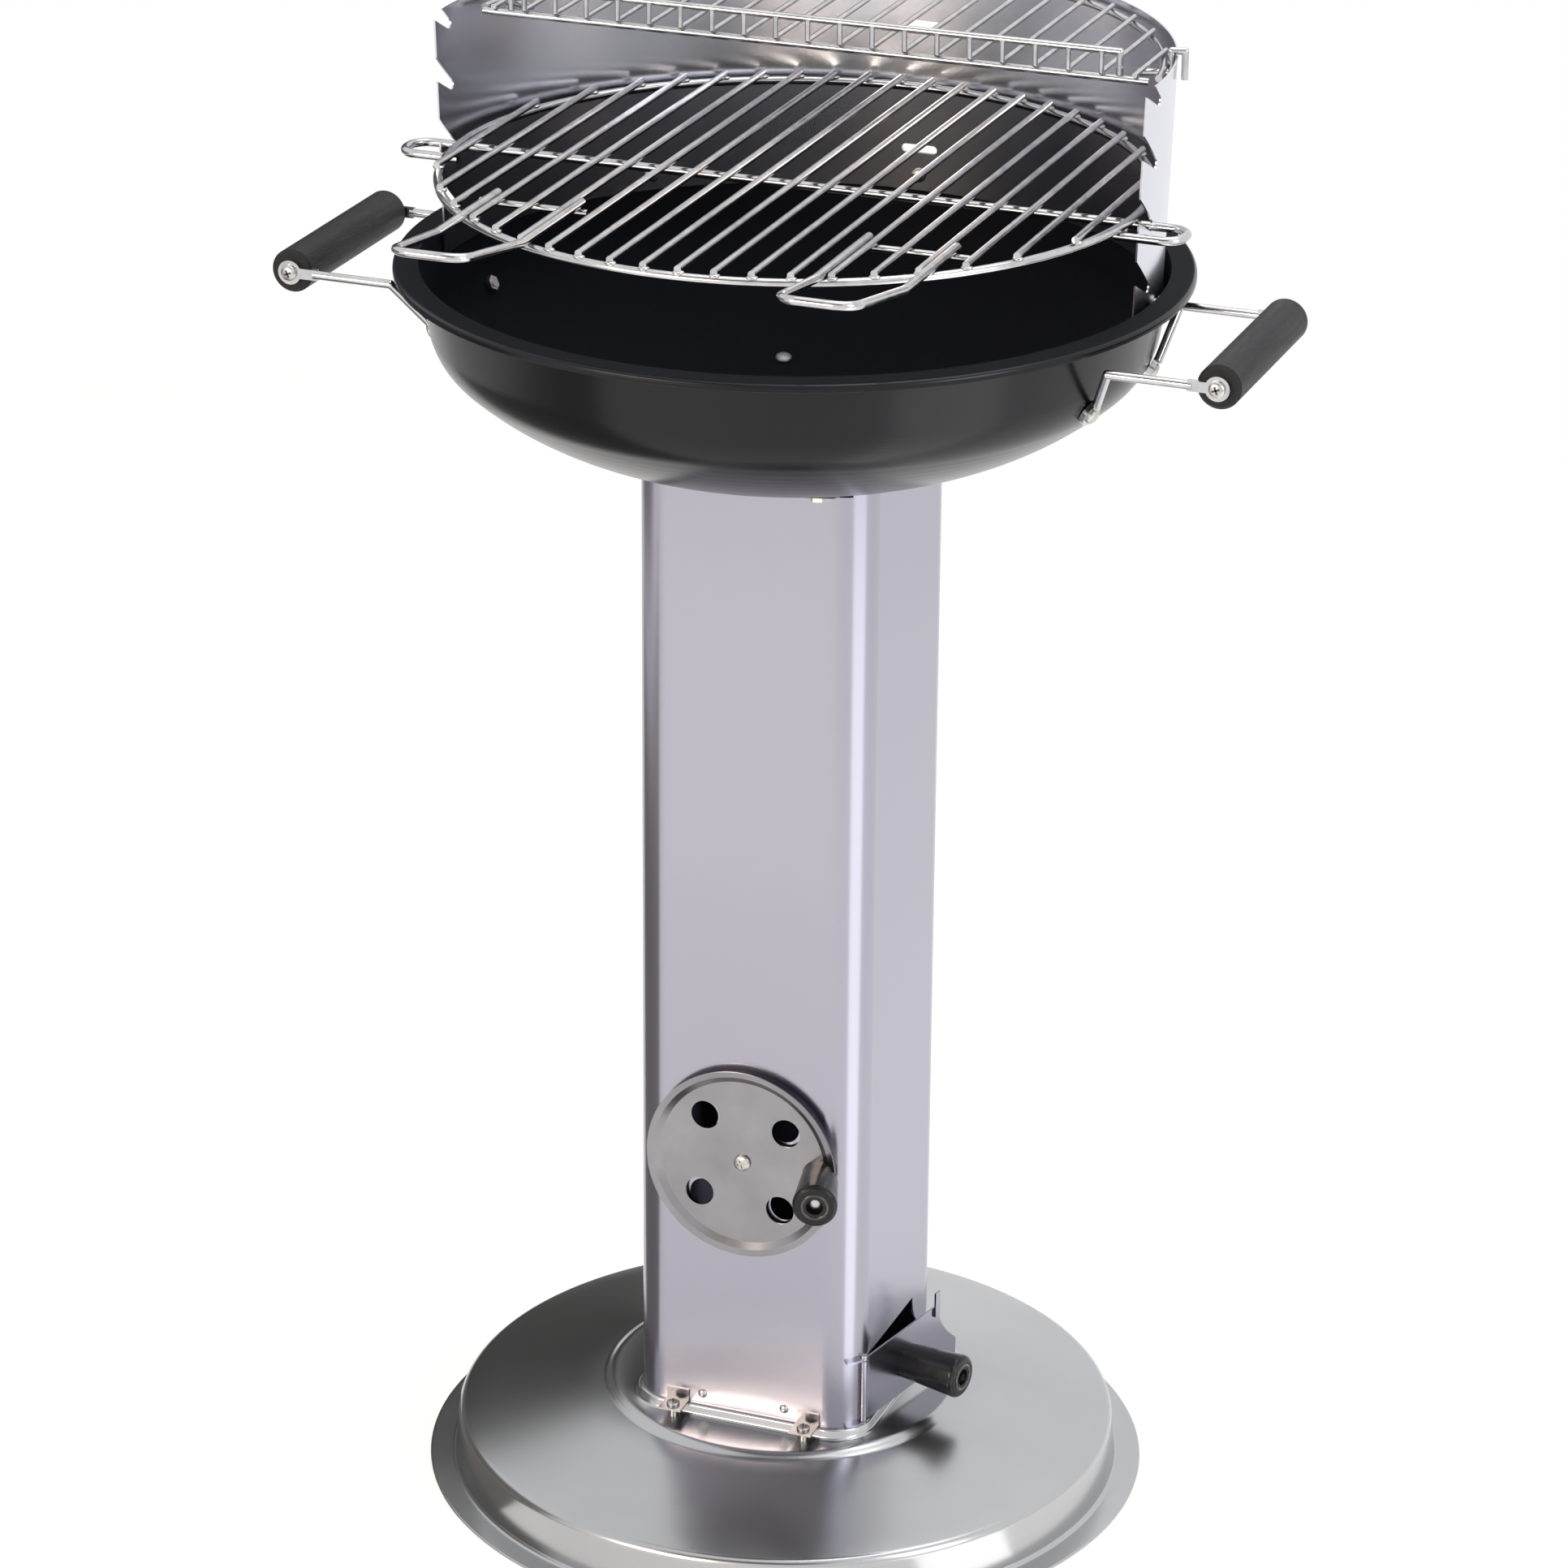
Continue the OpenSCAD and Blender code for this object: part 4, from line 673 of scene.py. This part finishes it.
# The foot's screws face up, two on either side of the column
def footHeads(headRadius):
    x, y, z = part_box("foot_screws")[1]
    return [((sideX * (x - headRadius), sideY * (y - headRadius), z), (0, 0, 1))
            for sideX in (-1, 1) for sideY in (-1, 1)]


makeCrosses("grip_crosses", gripHeads(), gripCrosses)
makeCrosses("foot_crosses", footHeads(footCrosses["headRadius"]), footCrosses)
print("beads, base, rivets, welds and screw crosses placed")


# Studio

def flatSheet(name, corners):
    mesh = bpy.data.meshes.new(name)
    mesh.from_pydata(corners, [], [(0, 1, 2, 3)])
    sheet = bpy.data.objects.new(name, mesh)
    bpy.context.collection.objects.link(sheet)
    return sheet


def cornersOf(width, depth):
    w, d = width / 2, depth / 2
    return [(-w, -d, 0), (w, -d, 0), (w, d, 0), (-w, d, 0)]


# 1 for rays that show the background: straight to the camera, in a mirror or through glass
def backgroundRays(tree):
    rays = nodeIn(tree, "ShaderNodeLightPath").outputs
    mirrored = mathOf(tree, "MAXIMUM", rays["Is Camera Ray"], rays["Is Glossy Ray"])
    return mathOf(tree, "MAXIMUM", mirrored, rays["Is Transmission Ray"])


# Pale paper that fades to pure white, so that no horizon shows
floorSetup = {
    "size": 9.0, "colour": (0.8, 0.8, 0.8), "farColour": (0.0, 0.0, 0.0), "roughness": 0.7,
    "glow": 0.58, "farGlow": 1.0, "fadeFrom": 1.0, "fadeTo": 2.6,
}


def makeFloor(setup):
    floor = flatSheet("floor", cornersOf(setup["size"], setup["size"]))
    made, tree, shader = startMaterial("floorPaper", {
        "Roughness": setup["roughness"], "Specular IOR Level": 0.0, "Emission Color": (1, 1, 1, 1)})
    away = remap(tree, vectorOf(tree, "LENGTH", objectSpot(tree)), 0.0, 1.0,
                 fromLow=setup["fadeFrom"], fromHigh=setup["fadeTo"], interpolation_type="SMOOTHSTEP")
    feed(tree, shader.inputs["Base Color"], mixColours(tree, away, setup["colour"], setup["farColour"]))
    glow = remap(tree, away, setup["glow"], setup["farGlow"], fromLow=0.0, fromHigh=1.0)
    feed(tree, shader.inputs["Emission Strength"], mathOf(tree, "MULTIPLY", backgroundRays(tree), glow))
    floor.data.materials.append(made)


# White all round: pure white where it is seen, and dimmer where it lights the object
worldSetup = {"fill": 0.32, "shown": 1.0}


def makeWorld(setup):
    world = bpy.data.worlds.new("studio")
    bpy.context.scene.world = world
    world.use_nodes = True
    tree = world.node_tree
    back = tree.nodes["Background"]
    back.inputs["Color"].default_value = (1, 1, 1, 1)
    strength = remap(tree, backgroundRays(tree), setup["fill"], setup["shown"], fromLow=0.0, fromHigh=1.0)
    feed(tree, back.inputs["Strength"], strength)


def aimAt(obj, target):
    obj.rotation_mode = "QUATERNION"
    obj.rotation_quaternion = (Vector(target) - obj.location).to_track_quat("-Z", "Y")


softboxes = {
    "keyBox": {"spot": (-1.05, -2.75, 1.3), "target": (0, 0, 0.3), "size": (1.5, 0.9), "power": 42.0,
               "colour": (1.0, 0.82, 0.63)},
    "sideBox": {"spot": (2.6, -0.9, 1.7), "target": (0, 0, 0.5), "size": (1.0, 1.8), "power": 20.0,
                "colour": (1, 1, 1)},
    "topBox": {"spot": (0.2, 0.5, 3.2), "target": (0, 0, 0.4), "size": (1.8, 1.8), "power": 26.0,
               "colour": (1, 1, 1)},
}


def makeSoftbox(name, setup):
    data = bpy.data.lights.new(name, "AREA")
    data.shape = "RECTANGLE"
    data.size, data.size_y = setup["size"]
    data.energy = setup["power"]
    data.color = setup["colour"]
    lamp = bpy.data.objects.new(name, data)
    bpy.context.collection.objects.link(lamp)
    lamp.location = setup["spot"]
    aimAt(lamp, setup["target"])


# A board or card that only shows as a reflection in the metal
def onlyInReflections(board, shade, glow):
    board.data.materials.append(startMaterial(board.name + "Paint", {
        "Base Color": (shade, shade, shade, 1), "Roughness": 0.9,
        "Emission Color": (1, 1, 1, 1), "Emission Strength": glow})[0])
    board.visible_camera = False
    board.visible_shadow = False
    board.visible_diffuse = False


# Dark boards beside the set, to be mirrored in the steel and the enamel
flagBoards = {
    "leftBoard": {"spot": (-1.65, 0.3, 0.5), "target": (0, 0.3, 0.5), "size": (2.5, 1.0), "shade": 0.3},
    "frontBoard": {"spot": (0.2, -2.6, 2.9), "target": (0, 0, 0.3), "size": (3.2, 1.4), "shade": 0.12},
    "backBoard": {"spot": (-1.9, 2.3, 1.0), "target": (-0.2, 0, 0.1), "size": (2.2, 1.9), "shade": 0.1},
}


def makeFlagBoard(name, setup):
    board = flatSheet(name, cornersOf(*setup["size"]))
    board.location = setup["spot"]
    aimAt(board, setup["target"])
    onlyInReflections(board, setup["shade"], 0.0)


# Fan-shaped cards on the floor between two headings in degrees from X, for the column's upright faces
floorCards = {
    "darkCard": {"tip": (-0.09, -0.09), "near": 0.03, "far": 1.6, "headings": (150, 230), "lift": 0.001,
                 "shade": 0.3, "glow": 0.0},
    "paleCard": {"tip": (0.09, -0.09), "near": 0.03, "far": 1.9, "headings": (-38, 2), "lift": 0.001,
                 "shade": 0.8, "glow": 1.5},
}


def makeFloorCard(name, setup):
    tipX, tipY = setup["tip"]
    near, far = setup["near"], setup["far"]
    first, last = (math.radians(heading) for heading in setup["headings"])
    corners = [(tipX + reach * math.cos(heading), tipY + reach * math.sin(heading), setup["lift"])
               for reach, heading in ((near, first), (far, first), (far, last), (near, last))]
    onlyInReflections(flatSheet(name, corners), setup["shade"], setup["glow"])


makeFloor(floorSetup)
makeWorld(worldSetup)
for maker, setups in ((makeSoftbox, softboxes), (makeFlagBoard, flagBoards), (makeFloorCard, floorCards)):
    for name, setup in setups.items():
        maker(name, setup)
print("studio built")


# Camera at the photograph's angle
cameraSetup = {
    "azimuth": 20.8, "elevation": 22.5, "distance": 3.303, "targetHeight": 0.435, "roll": 0.47,
    "focalPixels": 7000.0, "photoPixels": 1932.0, "sensor": 36.0, "shiftX": -0.0042, "shiftY": 0.001,
    "clip": (0.1, 60.0),
}


def makeCamera(setup):
    data = bpy.data.cameras.new("photoCamera")
    camera = bpy.data.objects.new("photoCamera", data)
    bpy.context.collection.objects.link(camera)
    around, above = math.radians(setup["azimuth"]), math.radians(setup["elevation"])
    level = math.cos(above)
    back = Vector((math.sin(around) * level, -math.cos(around) * level, math.sin(above)))
    camera.location = Vector((0, 0, setup["targetHeight"])) + back * setup["distance"]
    right = (-back).cross(Vector((0, 0, 1))).normalized()
    up = right.cross(-back)
    turn = math.radians(setup["roll"])
    tilted = right * math.cos(turn) + up * math.sin(turn)
    raised = up * math.cos(turn) - right * math.sin(turn)
    camera.rotation_mode = "QUATERNION"
    camera.rotation_quaternion = Matrix((tilted, raised, back)).transposed().to_quaternion()
    data.sensor_fit = "HORIZONTAL"
    data.sensor_width = setup["sensor"]
    data.lens = setup["sensor"] * setup["focalPixels"] / setup["photoPixels"]
    data.shift_x, data.shift_y = setup["shiftX"], setup["shiftY"]
    data.clip_start, data.clip_end = setup["clip"]
    bpy.context.scene.camera = camera


makeCamera(cameraSetup)
bpy.context.scene.view_settings.view_transform = "Standard"
print("camera set")
